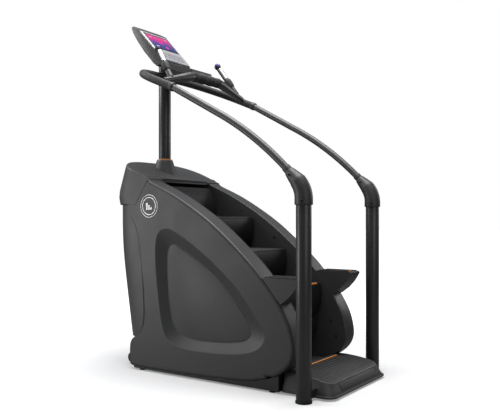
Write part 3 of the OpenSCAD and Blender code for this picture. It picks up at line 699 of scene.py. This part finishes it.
def badge(name, side):
    """Two thin rings round three plain step marks."""
    middle = (BADGE_AT[0] - MID_Y, BADGE_AT[1])
    hidden, shoulder, face, edge = -0.001, 0.0010, 0.0016, 0.0006       # heights over the cover, and a bevel
    pitch, width, rise = 0.016, 0.011, 0.013                            # of the step marks

    def flat(points, height):
        return [Vector((side * (SHELL_X + height), middle[0] + y, middle[1] + z)) for y, z in points]

    parts = []
    for outer, inner in BADGE_RINGS:
        profile = ((outer, hidden), (outer, shoulder), (outer - edge, face),
                   (inner + edge, face), (inner, shoulder), (inner, hidden))
        parts.append(skin([flat([(r * math.cos(a), r * math.sin(a)) for a in turned(96)], height)
                           for r, height in profile]))
    for i in range(3):
        y0, z0, z1 = (i - 1) * pitch - width / 2, -0.021, -0.007 + i * rise
        corners = ((y0, z0), (y0 + width, z0), (y0 + width, z1), (y0, z1))
        parts.append(solid([flat(corners, height) for height in (hidden, face)]))
    piece(name, *joined(parts), "badge_silver", replaces=("badges",))


def make_sides(outline):
    rim = smooth_loop(plane_loops("left_side_cover", -SHELL_X)[1], 300)
    floor = smooth_loop(plane_loops("accent_panels", -(SHELL_X - BOWL_DEPTH - 0.0005))[0], 300)
    floor = floor - inward(floor) * 0.0055
    for name, side in SIDES.items():
        side_cover(f"{name}_shell", side, outline, rim, floor)
        accent_panel(f"{name}_accent_panel", side, floor)
        badge(f"{name}_badge", side)


# ---- front shell -----------------------------------------------------------

# Height, then how far forward the shell reaches at its sides and at its middle.
FRONT_SLICES = [(FOOT_Z, 1.071, 1.312), (0.420, 1.106, 1.350), (0.760, 1.157, 1.390), (0.965, 1.160, 1.394)]
HOOD_SLICES = [(HEAD_Z, 1.172, 1.402), (1.010, 1.190, 1.409), (1.052, 1.182, 1.404), (1.186, 1.118, 1.366),
               (1.252, 1.080, 1.340)]
FRONT_POWER, HOOD_POWER = 2.6, 2.8      # how square the plans are; 2 is an ellipse


def seam_reach(outline):
    """The front seam's y at a height, from the side covers' outline."""
    loop = smooth_loop(outline, 1200)
    ahead = np.roll(loop, -1, axis=0)

    def reach(z):
        hit = (loop[:, 1] <= z) != (ahead[:, 1] <= z)
        here, there = loop[hit], ahead[hit]
        t = (z - here[:, 1]) / (there[:, 1] - here[:, 1])
        return float((here[:, 0] + (there[:, 0] - here[:, 0]) * t).max())

    return reach


def bow(side_y, centre_y, power):
    """Plan outline of the front shell from the left side, round the front, to the right."""
    angles = np.radians(np.linspace(-90, 90, 181))
    x = SHELL_X * np.sign(angles) * np.abs(np.sin(angles)) ** (2 / power)
    y = side_y + (centre_y - side_y) * np.cos(angles).clip(0) ** (2 / power)
    left = np.stack([np.full(40, -SHELL_X), np.linspace(0.98, side_y, 40, endpoint=False)], axis=1)
    right = left[::-1] * (-1, 1)
    return np.vstack([left, np.stack([x, y], axis=1), right]) - (0, MID_Y)


def shell_row(slices, z, power, seam_y, count):
    """Plan outline of a shell at height z, cut off at the seam and evenly spaced."""
    heights, side_ys, centre_ys = zip(*slices)
    path = bow(np.interp(z, heights, side_ys), np.interp(z, heights, centre_ys), power)
    end_y = seam_y + 0.0006
    kept = np.flatnonzero(path[:, 1] >= end_y)
    path = path[kept[0]:kept[-1] + 1]
    return spaced(np.vstack([[path[0, 0], end_y], path, [path[-1, 0], end_y]]), count)


def eased(slices):
    """The slices' sizes on a smooth curve through them."""
    heights, *sizes = np.array(slices).T
    fine = np.linspace(heights[0], heights[-1], 25)
    i = np.minimum(np.searchsorted(heights, fine, side="right") - 1, len(heights) - 2)
    h = heights[i + 1] - heights[i]
    t = (fine - heights[i]) / h
    columns = [fine]
    for values in sizes:
        slopes = np.gradient(values, heights)
        columns.append(values[i] * (1 + 2 * t) * (1 - t) ** 2 + slopes[i] * h * t * (1 - t) ** 2
                       + values[i + 1] * t * t * (3 - 2 * t) + slopes[i + 1] * h * t * t * (t - 1))
    return list(zip(*columns))


def front_cover(reach):
    slices = eased(FRONT_SLICES)
    rows = [[Vector((x, y, z)) for x, y in shell_row(slices, z, FRONT_POWER, reach(z) - 0.0010, 150)]
            for z in np.linspace(FOOT_Z, HEAD_Z - 0.0014, 34)]
    obj = piece("front_shell", *skin(rows, closed=False), "cover_plastic", replaces=("front_cover",))
    solidify(obj, WALL, 0.0012)


def hood_plane(y):
    """Height of the hood's top face; y is in the frame's own axes."""
    return HOOD_EDGE[1] + math.tan(HOOD_SLOPE) * (y + MID_Y - HOOD_EDGE[0])


def hood():
    """Belt that wraps the front and sides, rolled over into a flat sloping top."""
    count, levels, edge_r = 170, 22, 0.007
    widen = ((SHELL_X + 0.0010) / SHELL_X, 1)
    heights = np.linspace(HEAD_Z, 1.250, 60)
    plans = np.array([shell_row(HOOD_SLICES, z, HOOD_POWER, np.interp(z, *HOOD_SEAM) - MID_Y, count) * widen
                      for z in heights])                      # [height, point, xy]

    def point(xs, ys, z, inset=0.0):
        spot = np.array([np.interp(z, heights, xs), np.interp(z, heights, ys)])
        toward = (0.0, 0.560) - spot
        return Vector((*(spot + toward / np.linalg.norm(toward) * inset), z))

    columns = []
    for i in range(count):
        xs, ys = plans[:, i].T
        top = float(np.interp(0.0, heights - hood_plane(ys), heights))
        column = [point(xs, ys, z) for z in np.linspace(HEAD_Z, top - edge_r, levels)]
        for a in np.linspace(0, QUARTER, 8)[1:]:
            high = point(xs, ys, top, edge_r * (1 - math.cos(a)))
            high.z = hood_plane(high.y) - edge_r * (1 - math.sin(a))
            column.append(high)
        columns.append(column)
    verts, faces = skin(list(zip(*columns)), closed=False)
    rim = len(verts) - count
    verts += [at(x, *HOOD_EDGE) for x in (WELL_X + 0.0005, -WELL_X - 0.0005)]
    faces.append(tuple(range(rim, len(verts))))
    obj = piece("hood_shell", verts, faces, "cover_plastic", replaces=("hood",))
    solidify(obj, WALL, 0.0010)
    block("hood_lip", (-0.210, 0.004, -0.002), (0.210, 0.030, 0.0075), "cover_plastic", edge=0.003,
          turn=tilted(at(0, *HOOD_EDGE), HOOD_SLOPE))
    block("hood_back_wall", (-WELL_X + 0.001, HOOD_EDGE[0] - MID_Y + 0.0045, 1.0985),
          (WELL_X - 0.001, HOOD_EDGE[0] - MID_Y + 0.009, 1.112), "cover_plastic", edge=0.001)


def hood_flap(name, side, outline):
    """Tongue of the hood that lies on the top of a side cover, down to the edge of the well."""
    loop = smooth_loop(outline, 1200)
    upper = loop[loop[:, 1] > 0.9]
    upper = upper[np.argsort(upper[:, 0])]
    radius = 0.012
    columns = [(x, 0.0) for x in np.linspace(WELL_X + 0.0006, SHELL_X - radius, 6)]
    columns += [(SHELL_X - radius + radius * math.sin(a), radius * (1 - math.cos(a)))
                for a in np.linspace(0, QUARTER, 8)[1:]]
    rows = []
    for y in (1.134, 1.128, 1.120, 1.112, 1.104, 1.096, 1.088, 1.080, 1.072, HOOD_EDGE[0]):
        top = float(np.interp(y - MID_Y, upper[:, 0], upper[:, 1]))
        top = min(hood_plane(y - MID_Y), top + 0.0009)
        rows.append([at(side * (x + 0.0004), y, top - drop) for x, drop in columns])
    obj = piece(name, *skin(rows, closed=False), "cover_plastic", replaces=("hood",))
    solidify(obj, 0.0012)


def make_front(outline):
    front_cover(seam_reach(outline))
    hood()
    for name, side in SIDES.items():
        hood_flap(f"{name}_hood_flap", side, outline)


# ---- rails -----------------------------------------------------------------

CASTING_RADII = ((0, 0.08, 0.5, 0.8, 1), (0.0448, 0.0448, 0.0432, 0.041, 0.0262))
CASTING_BOLTS = ((-0.013, 0.972, 0.0426, -0.28), (0.062, 1.096, 0.0355, 0))     # y, z, reach, backward lean


def along(start, end, shares):
    """Points of the straight line between two (y, z) pairs."""
    return [(start[0] + (end[0] - start[0]) * t, start[1] + (end[1] - start[1]) * t) for t in shares]


def rail_paths():
    """Centre lines of one side's casting and handrail, and the handrail's end, as (y, z) pairs."""
    a0, a1 = RAIL_SLOPES
    elbow_z = RAIL_START[1] - RAIL_START[0] - ELBOW_R * math.tan(a0 / 2)
    elbow = [(0, POST_TOP + 0.0005), (0, 0.965)]
    elbow += [(ELBOW_R * (1 - math.cos(a)), elbow_z + ELBOW_R * math.sin(a)) for a in np.linspace(0, a0, 14)]
    elbow += along(elbow[-1], RAIL_START, (0.33, 0.66, 0.985))
    rail = [(RAIL_START[0] + RAIL_ARC_R * (math.sin(a0) - math.sin(a)),
             RAIL_START[1] + RAIL_ARC_R * (math.cos(a) - math.cos(a0))) for a in np.linspace(a0, a1, 40)]
    end = (rail[-1][0] + RAIL_STRAIGHT * math.cos(a1), rail[-1][1] + RAIL_STRAIGHT * math.sin(a1))
    return elbow, rail + along(rail[-1], end, (0.25, 0.5, 0.75, 1.0)), end


def make_rails():
    elbow, rail, end = rail_paths()
    for name, side in SIDES.items():
        x = side * POST_X
        path = [at(x, *p) for p in rail]
        radii = np.interp(np.linspace(0, 1, len(elbow)), *CASTING_RADII)
        tube(f"{name}_casting", [at(x, *p) for p in elbow], radii, "elbow_paint",
             replaces=(f"{name}_post_elbow",), sides=56, rounding=0.003)
        tube(f"{name}_rail", path, RAIL_R, "rail_paint", replaces=(f"{name}_handrail",), sides=48)
        tube(f"{name}_casting_collar", path[:3], RAIL_R + 0.003, "elbow_paint", sides=48)
        for flank in (-1, 1):
            flank_name = "inner" if flank * side < 0 else "outer"
            for k, (y, z, reach, lean) in enumerate(CASTING_BOLTS):
                bolt(f"{name}_{flank_name}_casting_bolt_{k + 1}", at(x + flank * reach, y, z),
                     (flank, lean, 0), 0.0062, 0.0035, replaces=("elbow_bolts",))
    front_loop(end)


def front_loop(end):
    """Sleeved tube from one handrail round the front to the other."""
    cos, sin = math.cos(LOOP_SLOPE), math.sin(LOOP_SLOPE)
    straight = (LOOP_FRONT_Y - end[0]) / cos - LOOP_CORNER

    def on_plane(x, out):
        return at(x, end[0] + out * cos, end[1] + out * sin)

    path = [on_plane(-POST_X, t * straight) for t in np.linspace(0.0, 1, 6)]
    path += [on_plane(-POST_X + LOOP_CORNER * (1 - math.cos(a)), straight + LOOP_CORNER * math.sin(a))
             for a in np.linspace(0, QUARTER, 22)[1:]]
    path += [Vector((-p.x, p.y, p.z)) for p in reversed(path)]
    tube("front_loop", path, LOOP_R, "grip_rubber", replaces=("front_rail_loop",), sides=48)
    for name, side in SIDES.items():
        collar = [on_plane(side * POST_X, t) for t in (-0.013, 0.0, 0.013)]
        tube(f"{name}_loop_collar", collar, LOOP_R + 0.002, "elbow_paint", sides=48, rounding=0.003)
    block("loop_saddle", (-0.030, -0.010, -0.034), (0.030, 0.004, 0.034), "elbow_paint", edge=0.004,
          turn=tilted(on_plane(0, straight + LOOP_CORNER), LOOP_SLOPE))


# ---- crossbar and pulse handles --------------------------------------------

BAR_HALF = [(-0.378, 1.6555), (-0.330, 1.670), (-0.253, 1.6895), (-0.180, 1.7085), (-0.135, 1.7195),
            (-0.10, BAR_Z)]                 # x and z, from the left end to the sleeve
# Parts along a pulse handle: name, stations from base to tip, radius, slot, nodes replaced, end rounding.
CUFF_RADII = [0.0205, 0.0222, 0.0232, 0.0240, 0.0244, 0.0246, 0.0246, 0.0244, 0.0236, 0.0205]
CAP_RADII = [0.0172, 0.0186, 0.0196, 0.0202, 0.0200, 0.0190]
PULSE_PARTS = [
    ("arm_cuff", np.linspace(0.20, 0.455, 10), CUFF_RADII, "grip_rubber", (), 0.004),
    ("pulse_grip", np.linspace(0.44, 0.925, 20), 0.0160, "grip_rubber", ("pulse_grips",), 0.004),
    ("grip_cap", (0.835, 0.85, 0.87, 0.90, 0.925, 0.938), CAP_RADII, "grip_rubber", (), 0.003),
    ("cap_band", (0.893, 0.902, 0.911), 0.0207, "button_violet", (), 0.0006),
]


def on_pulse(t, side):
    p = PULSE_BASE.lerp(PULSE_TIP, t)
    return Vector((p.x * side, p.y, p.z))


def crossbar():
    bar = BAR_HALF + [(-x, z) for x, z in reversed(BAR_HALF)]
    path = curve_through([at(x, BAR_Y, z) for x, z in bar], 90)
    radii = [0.0170 + 0.0100 * float(smoothstep(0.36, 0.14, abs(p.x))) for p in path]
    tube("crossbar_tube", path, radii, "post_paint", replaces=("crossbar",))
    last, plain = 81, 5
    grip = [at(x, BAR_Y, BAR_Z) for x in np.linspace(-0.122, 0.122, last + 1)]
    ribs = [0.0284 + 0.0014 * (i % 2) + 0.0012 * math.cos(i / last * 6 * math.pi) for i in range(last + 1)]
    ribs[:plain] = ribs[-plain:] = [0.0300] * plain
    tube("crossbar_sleeve", grip, ribs, "grip_rubber", replaces=("crossbar_grip",), sides=48, rounding=0.004,
         smooth=50)


def pulse_plate(name, side):
    """Thin sensor plate wrapped round the user's side of a pulse grip."""
    axis = (on_pulse(1, side) - on_pulse(0, side)).normalized()
    toward = Vector((0, -1, 0))
    toward = (toward - axis * toward.dot(axis)).normalized()
    other = axis.cross(toward)
    low, high = 0.47, 0.80
    rings = []
    for t in np.linspace(low, high, 14):
        end = min(1.0, ((high - low) / 2 - abs(t - (low + high) / 2)) / 0.02 + 0.25)
        reach = math.radians(82) * (0.86 + 0.14 * end)
        rings.append([on_pulse(t, side) + (toward * math.cos(a) + other * math.sin(a)) * 0.0165
                      for a in np.linspace(-reach, reach, 25)])
    obj = piece(name, *skin(rings, closed=False), "sensor_steel", replaces=("pulse_plates",))
    solidify(obj, 0.0013, 0.0005, 1)


def make_handles():
    crossbar()
    for name, side in SIDES.items():
        arm = curve_through([on_pulse(t, side) for t in (-0.02, 0.12, 0.25, 0.36)], 16)
        tube(f"{name}_arm", arm, np.linspace(0.0185, 0.0165, 16), "elbow_paint",
             replaces=(f"{name}_pulse_arm",))
        for part, stations, radius, slot, nodes, rounding in PULSE_PARTS:
            tube(f"{name}_{part}", [on_pulse(t, side) for t in stations], radius, slot, replaces=nodes,
                 rounding=rounding)
        pulse_plate(f"{name}_pulse_plate", side)


# ---- console ---------------------------------------------------------------

# Outline of the housing, y and z, and how it shrinks towards its ends: share of the half width, size.
CONSOLE_PROFILE = [(1.135, 1.850), (1.3386, 2.063), (1.344, 2.074), (1.384, 2.094), (1.398, 2.095),
                   (1.403, 2.086), (1.386, 2.048), (1.350, 1.995), (1.290, 1.918), (1.210, 1.834),
                   (1.186, 1.816), (1.150, 1.822)]
CONSOLE_STATIONS = [(0.0, 1.0), (0.40, 1.0), (0.72, 1.0), (0.90, 0.995), (0.965, 0.985), (0.99, 0.965),
                    (1.0, 0.93)]


def on_face(x, up, out=0.0):
    origin, across, upward, outward = console_axes()
    return origin + across * x + upward * up + outward * out


def face_plate(name, half, y0, y1, corner, z0, z1, slot, replaces=(), edge=0.001, x=0.0):
    """A rounded plate on the console's face, round x and between depths z0 and z1."""
    loop = []
    for cx, cy, a0 in ((half - corner, y1 - corner, 0), (-half + corner, y1 - corner, 90),
                       (-half + corner, y0 + corner, 180), (half - corner, y0 + corner, 270)):
        loop += arc(x + cx, cy, corner, a0, 9)
    loop = np.array(loop)
    into = -np.sign(loop - loop.mean(axis=0))
    rings = [[on_face(*p, z0) for p in loop]]
    for a in np.linspace(0, QUARTER, 6):
        shape = loop + into * edge * (1 - math.cos(a))
        rings.append([on_face(*p, z1 - edge * (1 - math.sin(a))) for p in shape])
    return piece(name, *solid(rings), slot, "frame", replaces, 30)


def console_housing():
    """Moulded back shell: a rounded wedge whose sides draw in towards its back."""
    middle = at(0, 1.285, 1.955)
    mirrored = [(-share, size) for share, size in CONSOLE_STATIONS[:0:-1]]
    face = [at(0, *p) - middle for p in CONSOLE_PROFILE]
    rings = [[Vector((share * CONSOLE_X, *(p * size + middle)[1:])) for p in face]
             for share, size in mirrored + CONSOLE_STATIONS]
    obj = piece("console_shell", *solid(rings), "console_plastic",
                replaces=("console_housing",))
    bevel(obj, 0.006, 25, 4)
    apply_modifiers(obj)
    lip = 0.0055
    cut(obj, face_plate("cutter", CONSOLE_X - lip, lip, CONSOLE_LEN - lip, 0.013, -0.008, 0.05,
                        "console_plastic"))
    soften(obj, 32)
    finish_piece(obj, "console_plastic")


def make_console():
    console_housing()
    margin, low, high = 0.0062, *SCREEN_RISE
    bezel = face_plate("console_face", CONSOLE_X - margin, margin, CONSOLE_LEN - margin, 0.0125, -0.0075,
                       0.0035, "bezel_silver", replaces=("console_bezel",), edge=0.005)
    cut(bezel, face_plate("cutter", SCREEN_X + 0.0012, low - 0.0012, high + 0.0012, 0.005, -0.0035, 0.02,
                          "bezel_silver"))
    cut(bezel, face_plate("cutter", 0.095, 0.020, 0.088, 0.010, 0.0028, 0.02, "bezel_silver"))
    finish_piece(bezel, "bezel_silver")
    soften(bezel, 30)
    face_plate("screen_border", SCREEN_X + 0.0008, low - 0.0008, high + 0.0008, 0.0045, -0.0034, 0.0030,
               "inlet_plastic", edge=0.0008)
    face_plate("screen_picture", SCREEN_X - 0.009, low + 0.009, high - 0.009, 0.002, 0.0022, 0.0034,
               "screen_glass", replaces=("display",), edge=0.0003)
    face_plate("keypad_film", 0.0945, 0.0205, 0.0875, 0.0095, 0.0024, 0.0032, "keypad", edge=0.0002)
    for row, (height, number) in enumerate(((0.070, 7), (0.040, 5))):
        for k, x in enumerate(np.linspace(-0.082, 0.082, number)):
            face_plate(f"key_{row + 1}_{k + 1}", 0.0075, height - 0.0055, height + 0.0055, 0.0045, 0.0030,
                       0.0042, "key_blue" if (row, k) == (1, 2) else "key_grey", edge=0.0006, x=x)
    # A thin near-black plate on the brow stands for a slot: its dark is painted shade.
    block("brow_slot_shade", (-0.118, -0.006, -0.0012), (-0.052, 0.004, 0.0012), "inlet_plastic", edge=0.001,
          turn=tilted(at(0, 1.3645, 2.0843), math.radians(26.6)))


# ---- steps, wings and platform ---------------------------------------------

TREAD_RIB = [(0, 0), (0.001, 0.00112), (0.0022, 0.0016), (0.0043, 0.0016), (0.0055, 0.00112), (0.0065, 0),
             (0.0065, -0.0008), (0, -0.0008)]
PLATFORM_RIB = [(0, -0.001), (0, 0.0004), (0.0003, 0.0011), (0.001, 0.0014), (0.015, 0.0014),
                (0.0157, 0.0011), (0.016, 0.0004), (0.016, -0.001)]


def make_steps():
    for name, (y, z) in STEP_NOSES.items():
        rib_rows(name + "_ribs", [y + 0.022 + i * 0.0165 for i in range(13)], TREAD_RIB, STEP_X - 0.018,
                 lambda _, z=z: z, "climbing_run")
    y, z = STEP_NOSES["step_3"]
    block("step_3_marker", (-0.172, y - MID_Y - 0.0012, z - 0.006), (0.172, y - MID_Y + 0.010, z + 0.0012),
          "amber_plastic", body="climbing_run", edge=0.0008)


def make_wings():
    for name, side in SIDES.items():
        low, high = sorted((side * (WELL_X + 0.0045), side * (SHELL_X - 0.0042)))
        block(f"{name}_wing_pad", (low, PAD_Y[0] - MID_Y, PAD_Z[0]), (high, PAD_Y[1] - MID_Y, PAD_Z[1]),
              "foot_rubber", replaces=("wing_pads",), edge=0.0010)
        for k in range(11):
            y = 0.088 - MID_Y + k * 0.0155
            block(f"{name}_wing_pad_rib_{k + 1}", (low + 0.008, y, PAD_Z[1] - 0.0004),
                  (high - 0.008, y + 0.007, PAD_Z[1] + 0.0012), "foot_rubber", edge=0.0006)
        near, far = sorted((side * (WELL_X + 0.010), side * (WELL_X + 0.050)))
        block(f"{name}_wing_marker", (near, PAD_Y[0] - 0.0006 - MID_Y, PAD_Z[0] + 0.0002),
              (far, PAD_Y[0] + 0.0038 - MID_Y, PAD_Z[1] + 0.0006), "amber_plastic", edge=0.0005)


def platform_height(y):
    """Height of the platform's crown; y is from the plane of the posts."""
    return float(np.interp(y, *zip(*PLATFORM_TOP)))


def platform_plan(inset):
    """Plan outline of the platform, drawn in by inset, with rounded rear corners."""
    corner, front, turns = 0.050, 0.004, 17
    x1, y0, y1 = PLATFORM_X - inset, PLATFORM_REAR + inset, PLATFORM_FRONT - 0.0005
    loop = []
    for cx, cy, r, a0 in ((x1 - corner, y0 + corner, corner, -90), (x1 - front, y1 - front, front, 0),
                          (-x1 + front, y1 - front, front, 90), (-x1 + corner, y0 + corner, corner, 180)):
        loop += arc(cx, cy, r, a0, turns)
    full = []
    for i, p in enumerate(loop):
        full.append(p)
        if (i + 1) % turns == 0:
            full += along(p, loop[(i + 1) % len(loop)], np.linspace(0, 1, 26)[1:-1])
    return full


def platform_shell():
    """Moulded step-on platform: a lip, a bevelled wall and a gently rising top."""
    lip, foot = -PLATFORM_LIP, PLATFORM_FOOT
    lean, rise = PLATFORM_WALL
    start, crown = 0.0008, 0.0008 + lean
    # how far each ring is drawn in, and its height; none stands for the crown
    stations = [(lip + 0.003, 0.0102), (lip + 0.0005, 0.0110), (lip, 0.0130), (lip, 0.0185),
                (lip + 0.001, 0.0203), (-0.0010, 0.0212), (0.0000, 0.0230)]
    stations += [(start + lean * t, foot + rise * t) for t in (0, 0.25, 0.5, 0.75, 1.0)]
    drops = {crown + 0.0012: 0.0016, crown + 0.0030: 0.0004}
    stations += [(inset, None) for inset in (*drops, crown + 0.0055, *np.linspace(0.034, 0.135, 18))]
    rings = []
    for inset, level in stations:
        ring = []
        for x, y in platform_plan(inset):
            z = platform_height(y)
            if level is None:
                z -= drops.get(inset, 0.0)
            elif level < foot:
                z = level
            else:
                z = foot + (level - foot) * (z - 0.0045 - foot) / rise
            ring.append(at(x, y, z))
        rings.append(ring)
    piece("platform_shell", *solid(rings), "platform_plastic",
          replaces=("entry_platform",), smooth=24)


def make_platform():
    platform_shell()
    rib_rows("platform_ribs", [-0.058 + i * 0.024 for i in range(8)], PLATFORM_RIB, 0.276, platform_height,
             replaces=("platform_tread",))
    lean, rise = PLATFORM_WALL
    middle = at(0, PLATFORM_REAR + 0.0008 + lean * 0.5, PLATFORM_FOOT + rise * 0.5)
    turn = tilted(middle, math.atan2(rise, lean))
    # A near-black plate a little larger than the rear panel, behind it: its rim is painted shade in the gap
    # round the panel.
    block("platform_panel_gap_shade", (-0.2100, -0.0215, -0.001), (0.2100, 0.0215, 0.0006), "inlet_plastic",
          edge=0.0002, turn=turn)
    block("platform_rear_panel", (-0.205, -0.017, -0.001), (0.205, 0.017, 0.0012), "platform_plastic",
          edge=0.0010, turn=turn)


# ---- CAD nodes that keep their shape, and the small fittings ----------------

# Slot, then the width, angle and segments of the rounding, and the nodes that get them; * stands for a side.
CAD_LOOKS = {
    ("cover_plastic", 0.003, 30): ("mast_boot",),
    ("cover_plastic", 0.006, 30, 4): ("*_wing",),
    ("well_plastic", 0.001): ("kick_panel",),
    ("well_plastic", 0.0015): ("*_inner_wall",),
    ("well_plastic",): ("floor_pan",),
    ("inlet_plastic", 0.001): ("power_inlet",),
    ("console_plastic", 0.006, 25): ("console_tray",),
    ("step_plastic", 0.0025, 30): ("step_1", "step_2", "step_3", "return_steps", "top_step", "bottom_step"),
    ("post_paint", 0.0015, 60): ("mast", "*_rear_post"),
    ("post_paint", 0.001, 60): ("console_neck",),
    ("frame_steel", 0.003, 50): ("base_frame", "rear_crossmember", "*_side_frame"),
    ("foot_rubber", 0.002, 50): ("foot_pads",),
    ("wheel_rubber", 0.004, 50): ("*_transport_wheel",),
    ("amber_plastic", 0.001): ("boot_ring",),
    ("amber_plastic", 0.0008): ("platform_marker",),
    ("button_amber", 0.0015, 50): ("stop_button",),
    ("button_violet", 0.002, 50): ("*_handle_button",),
    ("chain_steel", 0.001): ("front_chains",),
    ("shaft_steel", 0.001): ("upper_shaft", "lower_shaft", "alternator"),
    ("belt_rubber",): ("drive_belt",),
}
HUB_PROFILE = ((-0.001, 0.019), (0.0006, 0.019), (0.0014, 0.018), (0.0014, 0.010), (0.0004, 0.009),
               (0.0004, 0.0066))                                        # how far out, and radius
WALL_SCREWS = ((0.180, 0.300), (0.145, 0.215), (0.560, 0.770), (0.800, 0.930), (0.330, 0.560))     # y and z


def dress_nodes():
    for look, nodes in CAD_LOOKS.items():
        for node in nodes:
            for name in sorted({node.replace("*", side) for side in SIDES}):
                dress(name, *look)


def make_fittings():
    for name, side in SIDES.items():
        low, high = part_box(f"{name}_transport_wheel")
        middle = (low + high) / 2
        hub_x = high.x if side > 0 else low.x
        rings = [[Vector((hub_x + side * x, middle.y + r * math.cos(a), middle.z + r * math.sin(a)))
                  for a in turned(40)] for x, r in HUB_PROFILE]
        obj = piece(f"{name}_wheel_hub", *skin(rings), "inlet_plastic", body=f"{name}_wheel")
        solidify(obj, 0.0006)
        for k, (y, z) in enumerate(WALL_SCREWS):
            bolt(f"{name}_wall_screw_{k + 1}", at(side * (WELL_X + 0.0004), y, z), (-side, 0, 0),
                 0.0055, 0.0026)


# ---- stage -----------------------------------------------------------------

# Name, position, point it faces, size, power.
LIGHTS = [
    ("key", (-1.4, 3.0, 3.3), (-0.3, 0.1, 0.4), 2.0, 75),
    ("low_key", (-2.6, 4.6, 1.2), (0, 0.4, 0.5), 2.2, 30),
    ("sheen", (-3.0, 2.6, 0.7), (-0.3, 0.4, 0.4), 1.2, 27),
    ("fill", (-2.2, -4.2, 1.8), (0, -0.4, 0.6), 2.4, 26),
    ("top", (0.0, -0.2, 4.8), (0, 0, 0.5), 3.0, 290),
    ("back", (3.6, -1.6, 2.2), (0, -0.2, 1.0), 1.8, 32),
]


def area_light(name, location, target, size, power):
    data = bpy.data.lights.new(name, "AREA")
    data.shape = "SQUARE"
    data.size = size
    data.energy = power
    obj = bpy.data.objects.new(name, data)
    obj.location = location
    direction = Vector(target) - Vector(location)
    obj.rotation_euler = direction.to_track_quat("-Z", "Y").to_euler()
    obj.visible_camera = False
    bpy.context.scene.collection.objects.link(obj)


def studio_world():
    """White to the camera, a dim cool sky to the machine."""
    world = bpy.data.worlds.new("studio")
    bpy.context.scene.world = world
    world.use_nodes = True
    tree = world.node_tree
    tree.nodes.clear()
    light, seen = (add(tree, "Background", {"Color": color, "Strength": strength}).outputs["Background"]
                   for color, strength in (((0.93, 0.96, 1, 1), 0.22), ((1, 1, 1, 1), 1.0)))
    camera = add(tree, "LightPath").outputs["Is Camera Ray"]
    mix = add(tree, "MixShader", {"Fac": camera, 1: light, 2: seen})
    add(tree, "OutputWorld", {"Surface": mix.outputs["Shader"]})


def floor_paper():
    """White studio floor: dark to the machine, so it throws little light back up, and pale to the camera,
    where it also glows more the further it lies from the machine, painted light that fades it into the white
    backdrop.
    """
    paper = (0.56, 0.56, 0.565)
    mat, tree, shader = new_material("floor_paper", paper, 0.6, specular=0.1)
    bump(tree, shader, noise(tree, place(tree), 120.0, 2.0), 0.02, 0.0005)
    camera = add(tree, "LightPath").outputs["Is Camera Ray"]
    away = add(tree, "VectorMath", {0: place(tree)}, operation="LENGTH").outputs["Value"]
    # painted light: to the camera the floor glows, from 0.22 near the machine to 1 far from it
    spread = add(tree, "MapRange", {"Value": away, "From Min": 0.5, "From Max": 3.2, "To Min": 0.22,
                                    "To Max": 1.0}, interpolation_type="SMOOTHSTEP").outputs["Result"]
    glow = add(tree, "Math", {0: camera, 1: spread}, operation="MULTIPLY").outputs["Value"]
    shade = ramp(tree, camera, [(0.0, (0.20, 0.20, 0.20)), (1.0, paper)])
    feed(tree, shader, {"Base Color": shade, "Emission Color": (1, 1, 1, 1), "Emission Strength": glow})
    mat.cycles.emission_sampling = "NONE"
    return mat


def make_stage():
    studio_world()
    for light in LIGHTS:
        area_light(*light)
    mesh = bpy.data.meshes.new("floor")
    reach = 40.0
    corners = [(-reach, -reach, 0), (reach, -reach, 0), (reach, reach, 0), (-reach, reach, 0)]
    mesh.from_pydata(corners, [], [(0, 1, 2, 3)])
    floor = bpy.data.objects.new("floor", mesh)
    bpy.context.scene.collection.objects.link(floor)
    floor.data.materials.append(floor_paper())
    bpy.context.scene.view_settings.view_transform = "Standard"


def make_camera():
    """The photo's own view: three quarters from the left rear, at chest height."""
    data = bpy.data.cameras.new("camera")
    data.lens = 48.25
    data.sensor_width = 36
    data.shift_y = 0.0226
    camera = bpy.data.objects.new("camera", data)
    camera.location = (-3.199, -2.250, 0.8906)
    camera.rotation_euler = Vector((0.8253, 0.5647, 0)).to_track_quat("-Z", "Y").to_euler()
    bpy.context.scene.collection.objects.link(camera)
    bpy.context.scene.camera = camera


make_camera()
make_stage()
side_outline = plane_loops("left_inner_wall", -WELL_X)[0]
make_sides(side_outline)
make_front(side_outline)
make_rails()
make_handles()
make_console()
make_steps()
make_wings()
make_platform()
dress_nodes()
make_fittings()
